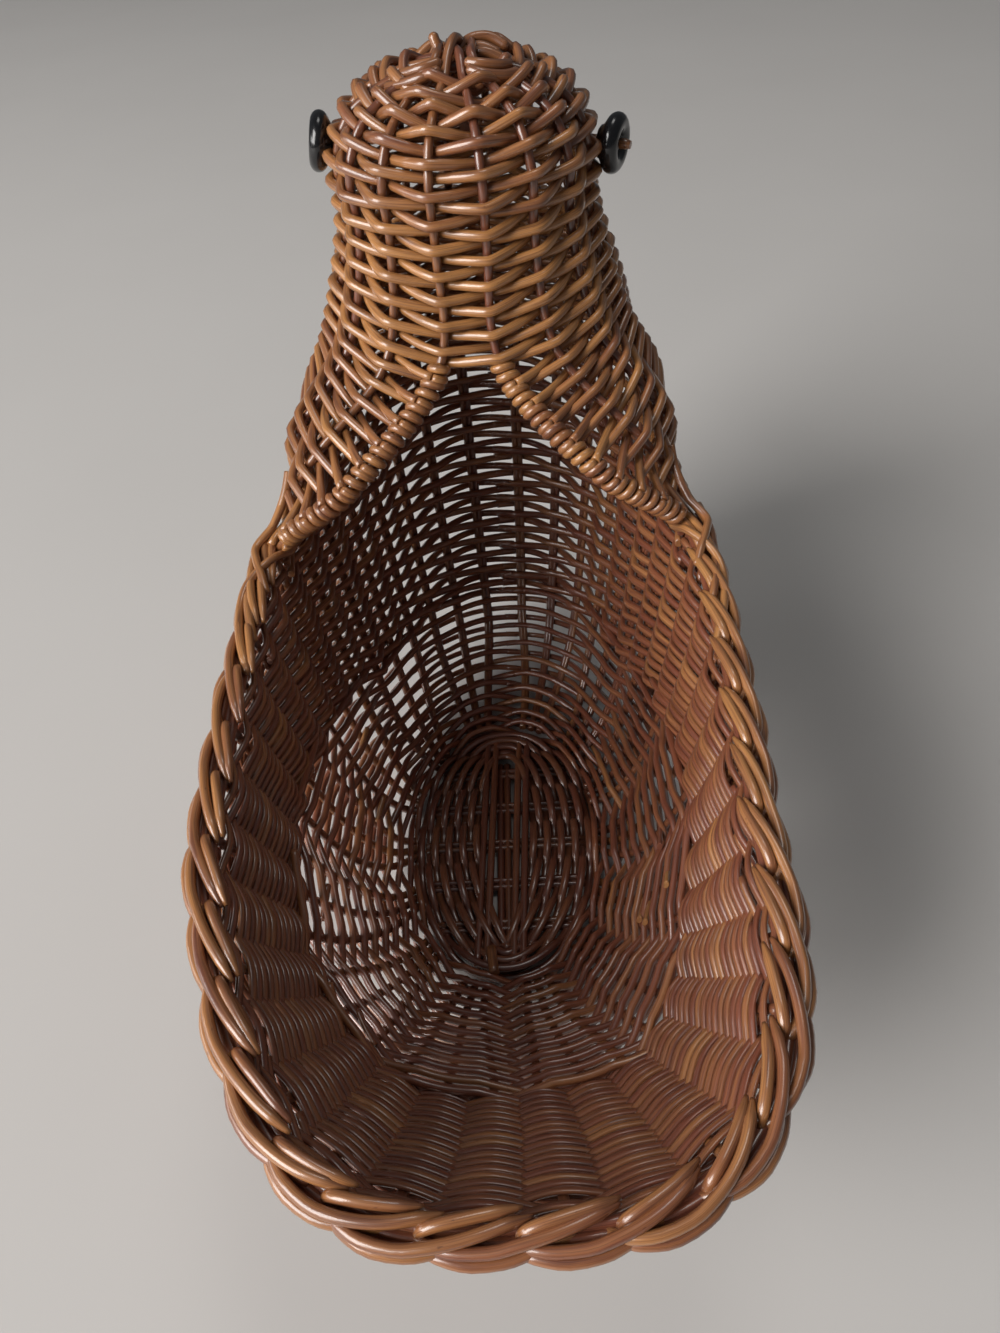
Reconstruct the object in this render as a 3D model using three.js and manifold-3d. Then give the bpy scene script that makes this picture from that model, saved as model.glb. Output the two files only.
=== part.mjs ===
// A chick-shaped wicker basket. Millimetres, +Z up, +Y the way the chick faces, the tail towards -Y.
import * as THREE from "three";
import Module from "manifold-3d";

const wasm = await Module();
wasm.setup();

// Rod and weave sizes
const STAKE_DIAMETER = 2.6;
const WEAVER_DIAMETER = 2.5;
const CLEARANCE = 0.3;
const WEAVE_THICKNESS = STAKE_DIAMETER + 2 * WEAVER_DIAMETER;
const HALF_WEAVE = WEAVE_THICKNESS / 2;

// The oval base that stands on the table
const BASE_LENGTH = 97;
const BASE_WIDTH = 58;
const BASE_ROUNDNESS = 2.2;

// The open rim of the tail, measured over the braided border
const RIM_WIDTH = 130;
const TAIL_REACH = 145;
const TAIL_HEIGHT = 98;
const FOOT_HEIGHT = 110;
const FOOT_Y = 30;
const WIDEST_Y = -35;
const BREAST_REACH = 142;
const BORDER_DIAMETER = 9;
const TAIL_ROUNDNESS = 3;
const BREAST_ROUNDNESS = 2;

// How each side of the wall leaves the base: 1 is a straight slope, larger is more bowl-shaped
const TAIL_CURVE = 1.3;
const SIDE_CURVE = 2.4;
const BREAST_CURVE = 2.8;

// The shoulder halfway up the arched opening, set out from the breast and from the feet of the arch
const SHOULDER_RISE = 18;
const SHOULDER_WIDTH = 112;
const SHOULDER_SETBACK = 80;
const SHOULDER_FRONT_SETBACK = 2;
const SHOULDER_OVERHANG = 16;
const SHOULDER_HEIGHT = FOOT_HEIGHT + SHOULDER_RISE;
const SHOULDER_Y = BREAST_REACH - SHOULDER_SETBACK;
const SHOULDER_FRONT = BREAST_REACH - SHOULDER_FRONT_SETBACK;
const SHOULDER_BACK = FOOT_Y - SHOULDER_OVERHANG;
const SHOULDER_OPEN_DEG = 40;
const SHOULDER_GATHER = 1.2;

// The neck at the top of the arched opening
const ARCH_RISE = 22;
const ARCH_WIDTH = 90;
const ARCH_SETBACK = 59;
const ARCH_FRONT_SETBACK = 7;
const ARCH_BACK_SETBACK = 97;
const ARCH_HEIGHT = SHOULDER_HEIGHT + ARCH_RISE;
const ARCH_Y = BREAST_REACH - ARCH_SETBACK;
const ARCH_FRONT = BREAST_REACH - ARCH_FRONT_SETBACK;
const ARCH_BACK = BREAST_REACH - ARCH_BACK_SETBACK;
const ARCH_EDGE_DIAMETER = 8.8;

// The head
const HEAD_SETBACK = 55;
const HEAD_Y = BREAST_REACH - HEAD_SETBACK;
const THROAT_RISE = 28;
const THROAT_HEIGHT = ARCH_HEIGHT + THROAT_RISE;
const THROAT_DIAMETER = 73;
const EYE_RISE = 15;
const EYE_HEIGHT = THROAT_HEIGHT + EYE_RISE;
const HEAD_DIAMETER = 73;
const DOME_RISE = 25;
const HEAD_TOP = EYE_HEIGHT + DOME_RISE;
const DOME_STEPS_DEG = [30, 54, 70];
const CROSS_SPACING = STAKE_DIAMETER + CLEARANCE;

// The stakes on one side: those that go on up the neck, and those that end in the border
const NECK_STAKES = 8;
const TAIL_STAKES = 13;
const SIDE_STAKES = NECK_STAKES + TAIL_STAKES;
const ROD_SIDES = 5;

// The sticks of the base
const LONG_STICKS = 4;
const LONG_STICK_SPACING = 6;
const CROSS_STICKS = 5;
const CROSS_STICK_SPACING = 15;

// Eyes and beak
const EYE_DIAMETER = 15;
const EYE_RIM = 1.5;
const EYE_RIM_HEIGHT = 2.8;
const EYE_FACE_HEIGHT = 1.5;
const EYE_HUB_DIAMETER = 8;
const EYE_HUB_HEIGHT = 0.9;
const PEG_DIAMETER = 2.6;
const PEG_PROUD = 3;
const BEAK_DROP = 5;
const BEAK_HEIGHT = EYE_HEIGHT - BEAK_DROP;
const BEAK_DIAMETER = 13;
const BEAK_LENGTH = 14;
const BEAK_STEM_DIAMETER = 4;

const REED = { color: 0x9c6a3a, roughness: 0.42, metalness: 0 };
const STAKE_REED = { color: 0x7a4a26, roughness: 0.45, metalness: 0 };
const BLACK_PLASTIC = { color: 0x0d0d0e, roughness: 0.18, metalness: 0 };

const group = new THREE.Group();
group.name = "chick_basket";

// Right half of an oval, from its front point to its back point
function halfOval(width, front, back, middle, frontPower, backPower) {
  const STEPS = 360;
  const points = [];
  for (let i = 0; i <= STEPS; i += 1) {
    const angle = (Math.PI * i) / STEPS;
    const c = Math.cos(angle);
    const power = c >= 0 ? frontPower : backPower;
    const reach = c >= 0 ? front - middle : middle - back;
    const x = (width / 2) * Math.abs(Math.sin(angle)) ** (2 / power);
    const y = middle + Math.sign(c) * reach * Math.abs(c) ** (2 / power);
    points.push(new THREE.Vector2(x, y));
  }
  const along = [0];
  for (let i = 1; i <= STEPS; i += 1) {
    along.push(along[i - 1] + points[i].distanceTo(points[i - 1]));
  }
  return { points, along, total: along[STEPS] };
}

function pointAlong(oval, distance) {
  const wanted = Math.min(Math.max(distance, 0), oval.total);
  let i = 1;
  while (oval.along[i] < wanted && i < oval.along.length - 1) {
    i += 1;
  }
  const share = (wanted - oval.along[i - 1]) / (oval.along[i] - oval.along[i - 1]);
  return oval.points[i - 1].clone().lerp(oval.points[i], share);
}

const baseOval = halfOval(BASE_WIDTH, BASE_LENGTH / 2, -BASE_LENGTH / 2, 0, BASE_ROUNDNESS, BASE_ROUNDNESS);
const rimOval = halfOval(
  RIM_WIDTH - BORDER_DIAMETER,
  BREAST_REACH - HALF_WEAVE,
  BORDER_DIAMETER / 2 - TAIL_REACH,
  WIDEST_Y,
  BREAST_ROUNDNESS,
  TAIL_ROUNDNESS,
);
const footIndex = rimOval.points.findIndex((p) => p.y < FOOT_Y);
const footDistance = rimOval.along[footIndex];
const frontStep = footDistance / (NECK_STAKES - 0.5);
const tailStep = (rimOval.total - footDistance) / (TAIL_STAKES + 0.5);
const EDGE_STAKE = NECK_STAKES - 1;

// Height of the wall's top, rising from the tail to the neck
function wallTop(y) {
  const rise = (FOOT_HEIGHT - TAIL_HEIGHT) / (FOOT_Y + TAIL_REACH);
  return TAIL_HEIGHT - BORDER_DIAMETER / 2 + rise * (y + TAIL_REACH);
}

// A point on the wall: stake counts from the front centre, share goes from the base to the wall's top
function wallPoint(stake, share) {
  const atFront = stake <= EDGE_STAKE;
  const distance = atFront ? (stake + 0.5) * frontStep : footDistance + (stake - EDGE_STAKE) * tailStep;
  const top = pointAlong(rimOval, distance);
  const low = pointAlong(baseOval, ((stake + 0.5) * baseOval.total) / SIDE_STAKES);
  const ahead = top.y / top.length();
  const endCurve = ahead > 0 ? BREAST_CURVE : TAIL_CURVE;
  const curve = SIDE_CURVE + (endCurve - SIDE_CURVE) * ahead * ahead;
  const plan = low.lerp(top, share);
  const height = HALF_WEAVE + (wallTop(top.y) - HALF_WEAVE) * share ** curve;
  return new THREE.Vector3(plan.x, plan.y, height);
}

function ringPoint(angle, width, front, back, middle, height) {
  const c = Math.cos(angle);
  const reach = c > 0 ? front - HALF_WEAVE - middle : middle - back - HALF_WEAVE;
  return new THREE.Vector3((width / 2 - HALF_WEAVE) * Math.sin(angle), middle + c * reach, height);
}

// The places a neck stake passes above the wall: shoulder, arch, throat, eyes and the dome of the head
function neckPoints(stake) {
  const turn = ((stake + 0.5) * Math.PI) / NECK_STAKES;
  const closed = Math.PI - THREE.MathUtils.degToRad(SHOULDER_OPEN_DEG);
  const spread = ((stake + 0.5) / (NECK_STAKES - 0.5)) ** SHOULDER_GATHER * closed;
  const radius = HEAD_DIAMETER / 2 - HALF_WEAVE;
  const rise = HEAD_TOP - HALF_WEAVE - EYE_HEIGHT;
  const throat = THROAT_DIAMETER / 2;
  const head = HEAD_DIAMETER / 2;
  const points = [
    ringPoint(spread, SHOULDER_WIDTH, SHOULDER_FRONT, SHOULDER_BACK, SHOULDER_Y, SHOULDER_HEIGHT),
    ringPoint(turn, ARCH_WIDTH, ARCH_FRONT, ARCH_BACK, ARCH_Y, ARCH_HEIGHT),
    ringPoint(turn, THROAT_DIAMETER, HEAD_Y + throat, HEAD_Y - throat, HEAD_Y, THROAT_HEIGHT),
    ringPoint(turn, HEAD_DIAMETER, HEAD_Y + head, HEAD_Y - head, HEAD_Y, EYE_HEIGHT),
  ];
  for (const degrees of DOME_STEPS_DEG) {
    const up = THREE.MathUtils.degToRad(degrees);
    const out = radius * Math.cos(up);
    const height = EYE_HEIGHT + rise * Math.sin(up);
    points.push(new THREE.Vector3(out * Math.sin(turn), HEAD_Y + out * Math.cos(turn), height));
  }
  return points;
}

// Levels along a stake: 0 at the base, 1 at the wall's top, then one for each place in neckPoints.
// Between the levels of this list every rod and every face of the weave runs straight, so that they nest.
const RIM_LEVEL = 1;
const ARCH_LEVEL = 3;
const THROAT_LEVEL = 4;
const CROWN_LEVEL = 8;
const LEVELS = [0, 0.2, 0.34, 0.52, 0.76, 1, 1.25, 1.5, 2, 2.5, 3, 3.5, 4, 5, 6, 7, 8];
const RIM_LEAD = 0.8;
const curves = new Map();

function neckCurve(stake) {
  if (!curves.has(stake)) {
    const lead = wallPoint(stake, RIM_LEAD);
    const points = [lead, wallPoint(stake, RIM_LEVEL), ...neckPoints(stake)];
    curves.set(stake, new THREE.CatmullRomCurve3(points, false, "centripetal"));
  }
  return curves.get(stake);
}

function curvePoint(stake, level) {
  if (level <= RIM_LEVEL) {
    return wallPoint(stake, level);
  }
  return neckCurve(stake).getPoint(level / CROWN_LEVEL);
}

function stakePoint(stake, level) {
  const after = Math.max(LEVELS.findIndex((each) => each >= level), 1);
  const low = LEVELS[after - 1];
  const high = LEVELS[after];
  return curvePoint(stake, low).lerp(curvePoint(stake, high), (level - low) / (high - low));
}

function levelsBetween(low, high) {
  return LEVELS.filter((level) => level >= low && level <= high);
}

// Unit vectors of the weave's middle surface: up along the stake, and out of the basket. It leaves the base
// flat.
const NEAR = 0.05;
function surfaceAt(stake, level, hasNeck) {
  const highest = hasNeck ? CROWN_LEVEL : RIM_LEVEL;
  const up = curvePoint(stake, Math.min(level + NEAR, highest));
  up.sub(curvePoint(stake, Math.max(level - NEAR, 0)));
  if (level === 0) {
    up.z = 0;
  }
  up.normalize();
  const last = (hasNeck ? NECK_STAKES : SIDE_STAKES) - 0.5;
  const around = curvePoint(Math.min(stake + 2 * NEAR, last), level);
  around.sub(curvePoint(Math.max(stake - 2 * NEAR, -0.5), level)).normalize();
  const out = new THREE.Vector3().crossVectors(up, around).normalize();
  return { middle: curvePoint(stake, level), up, out };
}

function solidFrom(vertices, triangles) {
  const vertProperties = new Float32Array(vertices.flatMap((p) => [p.x, p.y, p.z]));
  const mesh = new wasm.Mesh({ numProp: 3, vertProperties, triVerts: new Uint32Array(triangles) });
  return new wasm.Manifold(mesh);
}

// A closed solid from rings of points. The last side of a ring is split into triangles the other way from the
// rest, so that the upper face of one course of weaving and the lower face of the next slant alike. Where the
// strokes of the weavers stand out, each face is split between them, and every stroke stands alone.
function loft(rings, isLoop, splitsOtherWay = (k, i) => i === rings[0].length - 1) {
  const sides = rings[0].length;
  const vertices = rings.flat();
  const triangles = [];
  const count = rings.length;
  const spans = isLoop ? count : count - 1;
  for (let k = 0; k < spans; k += 1) {
    const here = k * sides;
    const next = ((k + 1) % count) * sides;
    for (let i = 0; i < sides; i += 1) {
      const j = (i + 1) % sides;
      if (splitsOtherWay(k, i)) {
        triangles.push(here + i, here + j, next + i, here + j, next + j, next + i);
      } else {
        triangles.push(here + i, here + j, next + j, here + i, next + j, next + i);
      }
    }
  }
  if (!isLoop) {
    const last = (count - 1) * sides;
    for (let i = 1; i < sides - 1; i += 1) {
      triangles.push(0, i + 1, i, last, last + i, last + i + 1);
    }
  }
  return solidFrom(vertices, triangles);
}

// A round rod along a list of points
function rod(points, diameter, sides) {
  const rings = [];
  let side = new THREE.Vector3();
  points.forEach((p, k) => {
    const before = points[Math.max(k - 1, 0)];
    const after = points[Math.min(k + 1, points.length - 1)];
    const along = after.clone().sub(before).normalize();
    if (k === 0) {
      const isUpright = Math.abs(along.z) > Math.abs(along.x) + Math.abs(along.y);
      side.crossVectors(along, isUpright ? new THREE.Vector3(1, 0, 0) : new THREE.Vector3(0, 0, 1));
    } else {
      side.addScaledVector(along, -side.dot(along));
    }
    side = side.clone().normalize();
    const other = new THREE.Vector3().crossVectors(along, side);
    const ring = [];
    for (let i = 0; i < sides; i += 1) {
      const angle = (2 * Math.PI * i) / sides;
      const reach = diameter / 2;
      const spot = p.clone().addScaledVector(side, reach * Math.cos(angle));
      ring.push(spot.addScaledVector(other, reach * Math.sin(angle)));
    }
    rings.push(ring);
  });
  return loft(rings, false);
}

function mirrored(p) {
  return new THREE.Vector3(-p.x, p.y, p.z);
}

// A place on a line through points, from 0 at its start to 1 at its end
function placeAlong(points, share) {
  const steps = points.slice(1).map((p, k) => p.distanceTo(points[k]));
  let rest = share * steps.reduce((sum, step) => sum + step, 0);
  let k = 0;
  while (k < steps.length - 1 && rest > steps[k]) {
    rest -= steps[k];
    k += 1;
  }
  return points[k].clone().lerp(points[k + 1], rest / steps[k]);
}

// The seen face of a column: full where a weaver passes on its side of the stake, sunk where it passes on the
// other side
const STROKE_DEPTH = 1.4;
function strokePoints(face, back, rows, phase) {
  const points = [face[0]];
  for (let row = 0; row < rows; row += 1) {
    const share = (row + 0.5) / rows;
    const depth = (STROKE_DEPTH * (1 - Math.cos(Math.PI * (phase + row)))) / 2;
    const place = placeAlong(face, share);
    const inwards = placeAlong(back, share).sub(place).normalize();
    points.push(place.addScaledVector(inwards, depth));
  }
  points.push(face[face.length - 1]);
  return points;
}

// One column of a course of weaving, at one stake number for each level. The strokes of the weavers outside
// the stakes are one layer and those inside are another, with the stakes between them.
const LAYERS = {
  outer: { seen: HALF_WEAVE, hidden: STAKE_DIAMETER / 2 + CLEARANCE, phase: 0 },
  inner: { seen: -HALF_WEAVE, hidden: -STAKE_DIAMETER / 2 - CLEARANCE, phase: 1 },
};
function weaveColumn(stakeAt, side, levels, layer, hasNeck, rows = 0, phase = 0) {
  const { seen, hidden, phase: layerPhase } = LAYERS[layer];
  const face = [];
  const back = [];
  levels.forEach((level, k) => {
    const { middle, up, out } = surfaceAt(stakeAt(level), level, hasNeck);
    const ends = { 0: CLEARANCE / 2, [levels.length - 1]: -CLEARANCE / 2 };
    middle.addScaledVector(up, ends[k] ?? 0);
    face.push(middle.clone().addScaledVector(out, seen));
    back.push(middle.clone().addScaledVector(out, hidden));
  });
  const woven = rows > 0 ? strokePoints(face, back, rows, phase + layerPhase) : face;
  const loop = seen > 0 ? [...woven, ...back.reverse()] : [...back, ...woven.reverse()];
  return side > 0 ? loop : loop.map(mirrored);
}

function add(name, solid, look) {
  const { vertProperties, triVerts } = solid.getMesh();
  const geometry = new THREE.BufferGeometry();
  geometry.setAttribute("position", new THREE.BufferAttribute(new Float32Array(vertProperties), 3));
  geometry.setIndex(new THREE.BufferAttribute(new Uint32Array(triVerts), 1));
  const mesh = new THREE.Mesh(geometry, new THREE.MeshStandardMaterial(look));
  mesh.name = name;
  group.add(mesh);
}

// Stake rods. Each tail rod is bent in two at the base; each neck rod goes over the crown and down again.
const ROD_END_DISTANCE = 5;
const FIRST_SHARE = LEVELS[1];
const WALL_ROD_LEVELS = levelsBetween(FIRST_SHARE, RIM_LEVEL);
const NECK_ROD_LEVELS = levelsBetween(RIM_LEVEL, CROWN_LEVEL).slice(1);
const BORDER_SEAT = CLEARANCE + BORDER_DIAMETER / 2;

// How far a stake runs near the base for one whole level, and the level where its rod ends
function lengthPerLevel(stake) {
  return stakePoint(stake, 0).distanceTo(stakePoint(stake, FIRST_SHARE)) / FIRST_SHARE;
}

function rodEndLevel(stake) {
  return ROD_END_DISTANCE / lengthPerLevel(stake);
}

function legPoints(stake, side, levels) {
  const points = levels.map((level) => stakePoint(stake, level));
  return side > 0 ? points : points.map(mirrored);
}

function tailLeg(stake, side) {
  return legPoints(stake, side, [rodEndLevel(stake), ...WALL_ROD_LEVELS]);
}

// A point near the base, a distance up the wall. Past the middle of the tail the places are on its left side.
const TAIL_MIDDLE = SIDE_STAKES - 0.5;
function lowPoint(place, distance) {
  const stake = Math.min(place, 2 * TAIL_MIDDLE - place);
  const point = stakePoint(stake, distance / lengthPerLevel(stake));
  return place > TAIL_MIDDLE ? mirrored(point) : point;
}

// The tight turn at the base between the two legs of a tail rod
const TURN_STEPS = 4;
function turnPoints(stake, side) {
  const start = lowPoint(stake, ROD_END_DISTANCE);
  const end = lowPoint(stake + 1, ROD_END_DISTANCE);
  const radius = start.distanceTo(end) / 2;
  const points = [];
  for (let k = 1; k < TURN_STEPS; k += 1) {
    const angle = (Math.PI * k) / TURN_STEPS;
    const place = stake + (1 - Math.cos(angle)) / 2;
    points.push(lowPoint(place, ROD_END_DISTANCE - radius * Math.sin(angle)));
  }
  return side > 0 ? points : points.map(mirrored);
}

function neckLeg(stake, side) {
  return legPoints(stake, side, [rodEndLevel(stake), ...WALL_ROD_LEVELS, ...NECK_ROD_LEVELS]);
}

// Rods that lie side by side at the crown: four from front to back on top, four from side to side below
function crownPoint(across, ahead, isTop) {
  const height = HEAD_TOP - STAKE_DIAMETER / 2 - (isTop ? 0 : CROSS_SPACING);
  return new THREE.Vector3(across, HEAD_Y + ahead, height);
}

const CROSS_HALF = 2 * CROSS_SPACING;
const rodPaths = [];
const LAST_STAKE = SIDE_STAKES - 1;
for (const side of [1, -1]) {
  for (let stake = NECK_STAKES; stake < LAST_STAKE; stake += 2) {
    const down = tailLeg(stake, side).reverse();
    const points = [...down, ...turnPoints(stake, side), ...tailLeg(stake + 1, side)];
    rodPaths.push({ kind: "tail_rod", points });
  }
}
const middleDown = tailLeg(LAST_STAKE, 1).reverse();
const middlePoints = [...middleDown, ...turnPoints(LAST_STAKE, 1), ...tailLeg(LAST_STAKE, -1)];
rodPaths.push({ kind: "tail_rod", points: middlePoints });
const FIRST_SIDE_STAKE = 2;
const SIDE_RODS = 4;
for (let k = 0; k < SIDE_RODS; k += 1) {
  const stake = FIRST_SIDE_STAKE + k;
  const ahead = ((SIDE_RODS - 1) / 2 - k) * CROSS_SPACING;
  const points = [
    ...neckLeg(stake, 1),
    crownPoint(CROSS_HALF, ahead, false),
    crownPoint(-CROSS_HALF, ahead, false),
    ...neckLeg(stake, -1).reverse(),
  ];
  rodPaths.push({ kind: "neck_rod", points });
}
for (const side of [1, -1]) {
  for (let stake = 0; stake < FIRST_SIDE_STAKE; stake += 1) {
    const across = side * (stake + 0.5) * CROSS_SPACING;
    const points = [
      ...neckLeg(stake, side),
      crownPoint(across, CROSS_HALF, true),
      crownPoint(across, -CROSS_HALF, true),
      ...neckLeg(EDGE_STAKE - stake, side).reverse(),
    ];
    rodPaths.push({ kind: "neck_rod", points });
  }
}
const rodCounts = {};
const edgeRods = [];
for (const { kind, points } of rodPaths) {
  rodCounts[kind] = (rodCounts[kind] ?? 0) + 1;
  add(`${kind}_${rodCounts[kind]}`, rod(points, STAKE_DIAMETER, ROD_SIDES), STAKE_REED);
  if (kind === "neck_rod") {
    edgeRods.push(rod(points, STAKE_DIAMETER + 2 * CLEARANCE, ROD_SIDES));
  }
}

// A hole for every rod and peg that passes through a course
function threaded(solid, tools) {
  return solid.subtract(wasm.Manifold.union(tools));
}

// The walls: two courses all the way round, each an outer and an inner layer
const wallColumns = [];
for (let stake = 0; stake < SIDE_STAKES; stake += 1) {
  wallColumns.push([stake, 1]);
}
for (let stake = SIDE_STAKES - 1; stake >= 0; stake -= 1) {
  wallColumns.push([stake, -1]);
}
const WALL_SPLIT = LEVELS[3];

// Low down the weavers take the stakes in threes, and higher up one by one
const LOWER_ROWS = 18;
const UPPER_ROWS = 26;
const WALL_COURSES = {
  lower_wall: { levels: levelsBetween(0, WALL_SPLIT), rows: LOWER_ROWS, together: 3 },
  upper_wall: { levels: levelsBetween(WALL_SPLIT, RIM_LEVEL), rows: UPPER_ROWS, together: 1 },
};
for (const [name, { levels, rows, together }] of Object.entries(WALL_COURSES)) {
  for (const layer of Object.keys(LAYERS)) {
    const rings = wallColumns.map(([stake, side], k) => {
      const phase = (k + 0.5) / together - 0.5;
      return weaveColumn(() => stake, side, levels, layer, false, rows, phase);
    });
    const sides = rings[0].length;
    const isOuter = layer === "outer";
    const splitsOtherWay = (k, i) => {
      const row = isOuter ? i - 1 : sides - 2 - i;
      const isStroke = together === 1 && row >= 0 && row < rows;
      return isStroke ? (row + k) % 2 === (isOuter ? 0 : 1) : i === sides - 1;
    };
    add(`${name}_weave_${layer}`, loft(rings, true, splitsOtherWay), REED);
  }
}

// The shoulder: a course that stops at the wrapped edges of the arch
const HALF_STEP = 0.5;
const edgeReach = ARCH_EDGE_DIAMETER / 2 + CLEARANCE;
const shoulderLevels = levelsBetween(RIM_LEVEL, ARCH_LEVEL);
function shoulderEnd(level) {
  const step = curvePoint(EDGE_STAKE, level).distanceTo(curvePoint(EDGE_STAKE - 1, level));
  return EDGE_STAKE - edgeReach / step;
}
const shoulderColumns = [];
const FINE_FROM = 5;
const SHOULDER_END = EDGE_STAKE - HALF_STEP;
for (let stake = -HALF_STEP; stake < SHOULDER_END; stake += stake < FINE_FROM ? HALF_STEP : HALF_STEP / 2) {
  shoulderColumns.push(() => stake);
}
shoulderColumns.push(shoulderEnd);
const OUTER_SHOULDER_ROWS = 16;
for (const layer of Object.keys(LAYERS)) {
  const rows = layer === "outer" ? OUTER_SHOULDER_ROWS : 0;
  const column = (at, side) => {
    const phase = side > 0 ? at(RIM_LEVEL) : -1 - at(RIM_LEVEL);
    return weaveColumn(at, side, shoulderLevels, layer, true, rows, phase);
  };
  const right = shoulderColumns.map((at) => column(at, 1));
  const left = shoulderColumns.slice(1).map((at) => column(at, -1));
  add(`shoulder_weave_${layer}`, loft([...left.reverse(), ...right], false), REED);
}

// Neck and head: courses all the way round again, two columns to a stake
const neckColumns = [];
for (let stake = 0; stake < NECK_STAKES; stake += HALF_STEP) {
  neckColumns.push([stake, 1]);
}
for (let stake = NECK_STAKES - 2 * HALF_STEP; stake > -HALF_STEP; stake -= HALF_STEP) {
  neckColumns.push([stake, -1]);
}
neckColumns.push([-HALF_STEP, 1]);
const pegLength = HALF_WEAVE + EYE_HUB_HEIGHT + EYE_RIM_HEIGHT + PEG_PROUD;
function peg(side, diameter) {
  const start = side * (HEAD_DIAMETER / 2 - WEAVE_THICKNESS);
  const end = side * (HEAD_DIAMETER / 2 - HALF_WEAVE + pegLength);
  const points = [new THREE.Vector3(start, HEAD_Y, EYE_HEIGHT), new THREE.Vector3(end, HEAD_Y, EYE_HEIGHT)];
  return rod(points, diameter, 2 * ROD_SIDES);
}
function beakStem(diameter, reach) {
  const start = HEAD_Y + HEAD_DIAMETER / 2 - WEAVE_THICKNESS;
  const points = [new THREE.Vector3(0, start, BEAK_HEIGHT), new THREE.Vector3(0, start + reach, BEAK_HEIGHT)];
  return rod(points, diameter, 2 * ROD_SIDES);
}
const headTools = [
  peg(1, PEG_DIAMETER + 2 * CLEARANCE),
  peg(-1, PEG_DIAMETER + 2 * CLEARANCE),
  beakStem(BEAK_STEM_DIAMETER + 2 * CLEARANCE, 2 * WEAVE_THICKNESS),
];
const OUTER_NECK_ROWS = 11;
const OUTER_HEAD_ROWS = 19;
const NECK_COURSES = {
  neck: { levels: levelsBetween(ARCH_LEVEL, THROAT_LEVEL), outerRows: OUTER_NECK_ROWS },
  head: { levels: levelsBetween(THROAT_LEVEL, CROWN_LEVEL), outerRows: OUTER_HEAD_ROWS },
};
for (const [name, { levels, outerRows }] of Object.entries(NECK_COURSES)) {
  for (const layer of Object.keys(LAYERS)) {
    const rows = layer === "outer" ? outerRows : 0;
    const rings = neckColumns.map(([stake, side]) => {
      const phase = side > 0 ? stake : -1 - stake;
      return weaveColumn(() => stake, side, levels, layer, true, rows, phase);
    });
    add(`${name}_weave_${layer}`, threaded(loft(rings, true), headTools), REED);
  }
}

// The wrapped edges of the arch, and the braided border of the tail
const ROUND_SIDES = 8;
for (const [word, side] of [["right", 1], ["left", -1]]) {
  const points = legPoints(EDGE_STAKE, side, shoulderLevels);
  const last = points.length - 1;
  points[0].add(points[1].clone().sub(points[0]).setLength(edgeReach));
  points[last].add(points[last - 1].clone().sub(points[last]).setLength(edgeReach));
  add(`arch_edge_${word}`, threaded(rod(points, ARCH_EDGE_DIAMETER, ROUND_SIDES), edgeRods), REED);
}
const borderEnd = EDGE_STAKE + edgeReach / tailStep;
const borderPoints = [];
const BORDER_HALF_STEPS = 18;
function borderPoint(share, side) {
  const stake = borderEnd + (TAIL_MIDDLE - borderEnd) * share;
  const { middle, up } = surfaceAt(stake, RIM_LEVEL, false);
  const point = middle.addScaledVector(up, BORDER_SEAT);
  return side > 0 ? point : mirrored(point);
}
for (let k = 0; k <= BORDER_HALF_STEPS; k += 1) {
  borderPoints.push(borderPoint(k / BORDER_HALF_STEPS, 1));
}
for (let k = BORDER_HALF_STEPS - 1; k >= 0; k -= 1) {
  borderPoints.push(borderPoint(k / BORDER_HALF_STEPS, -1));
}
add("tail_border", rod(borderPoints, BORDER_DIAMETER, ROUND_SIDES), REED);

// The base: an oval mat woven round long and cross sticks
const BASE_CORNERS = 24;
const matWidth = BASE_WIDTH - CLEARANCE;
const matReach = (BASE_LENGTH - CLEARANCE) / 2;
const matOval = halfOval(matWidth, matReach, -matReach, 0, BASE_ROUNDNESS, BASE_ROUNDNESS);
const matOutline = [];
for (let k = 0; k < BASE_CORNERS; k += 1) {
  matOutline.push(pointAlong(matOval, ((k + 0.5) * matOval.total) / BASE_CORNERS));
}
const fullOutline = [...matOutline, ...matOutline.map((p) => new THREE.Vector2(-p.x, p.y)).reverse()];
const matRings = [WEAVE_THICKNESS, 0].map((z) => fullOutline.map((p) => new THREE.Vector3(p.x, p.y, z)));
const longHeight = HALF_WEAVE + CROSS_SPACING / 2;
const crossHeight = HALF_WEAVE - CROSS_SPACING / 2;
const stickTools = [];
function matReachAt(position, span, otherSpan) {
  return (otherSpan / 2) * (1 - Math.abs((2 * position) / span) ** BASE_ROUNDNESS) ** (1 / BASE_ROUNDNESS);
}
function addStick(name, from, to) {
  add(name, rod([from, to], STAKE_DIAMETER, ROD_SIDES), STAKE_REED);
  const over = to.clone().sub(from).setLength(WEAVE_THICKNESS);
  const tool = [from.clone().sub(over), to.clone().add(over)];
  stickTools.push(rod(tool, STAKE_DIAMETER + 2 * CLEARANCE, ROD_SIDES));
}
for (let k = 0; k < LONG_STICKS; k += 1) {
  const x = (k - (LONG_STICKS - 1) / 2) * LONG_STICK_SPACING;
  const reach = matReachAt(x, matWidth, 2 * matReach) - STAKE_DIAMETER;
  const back = new THREE.Vector3(x, -reach, longHeight);
  addStick(`base_long_stick_${k + 1}`, back, new THREE.Vector3(x, reach, longHeight));
}
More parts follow.
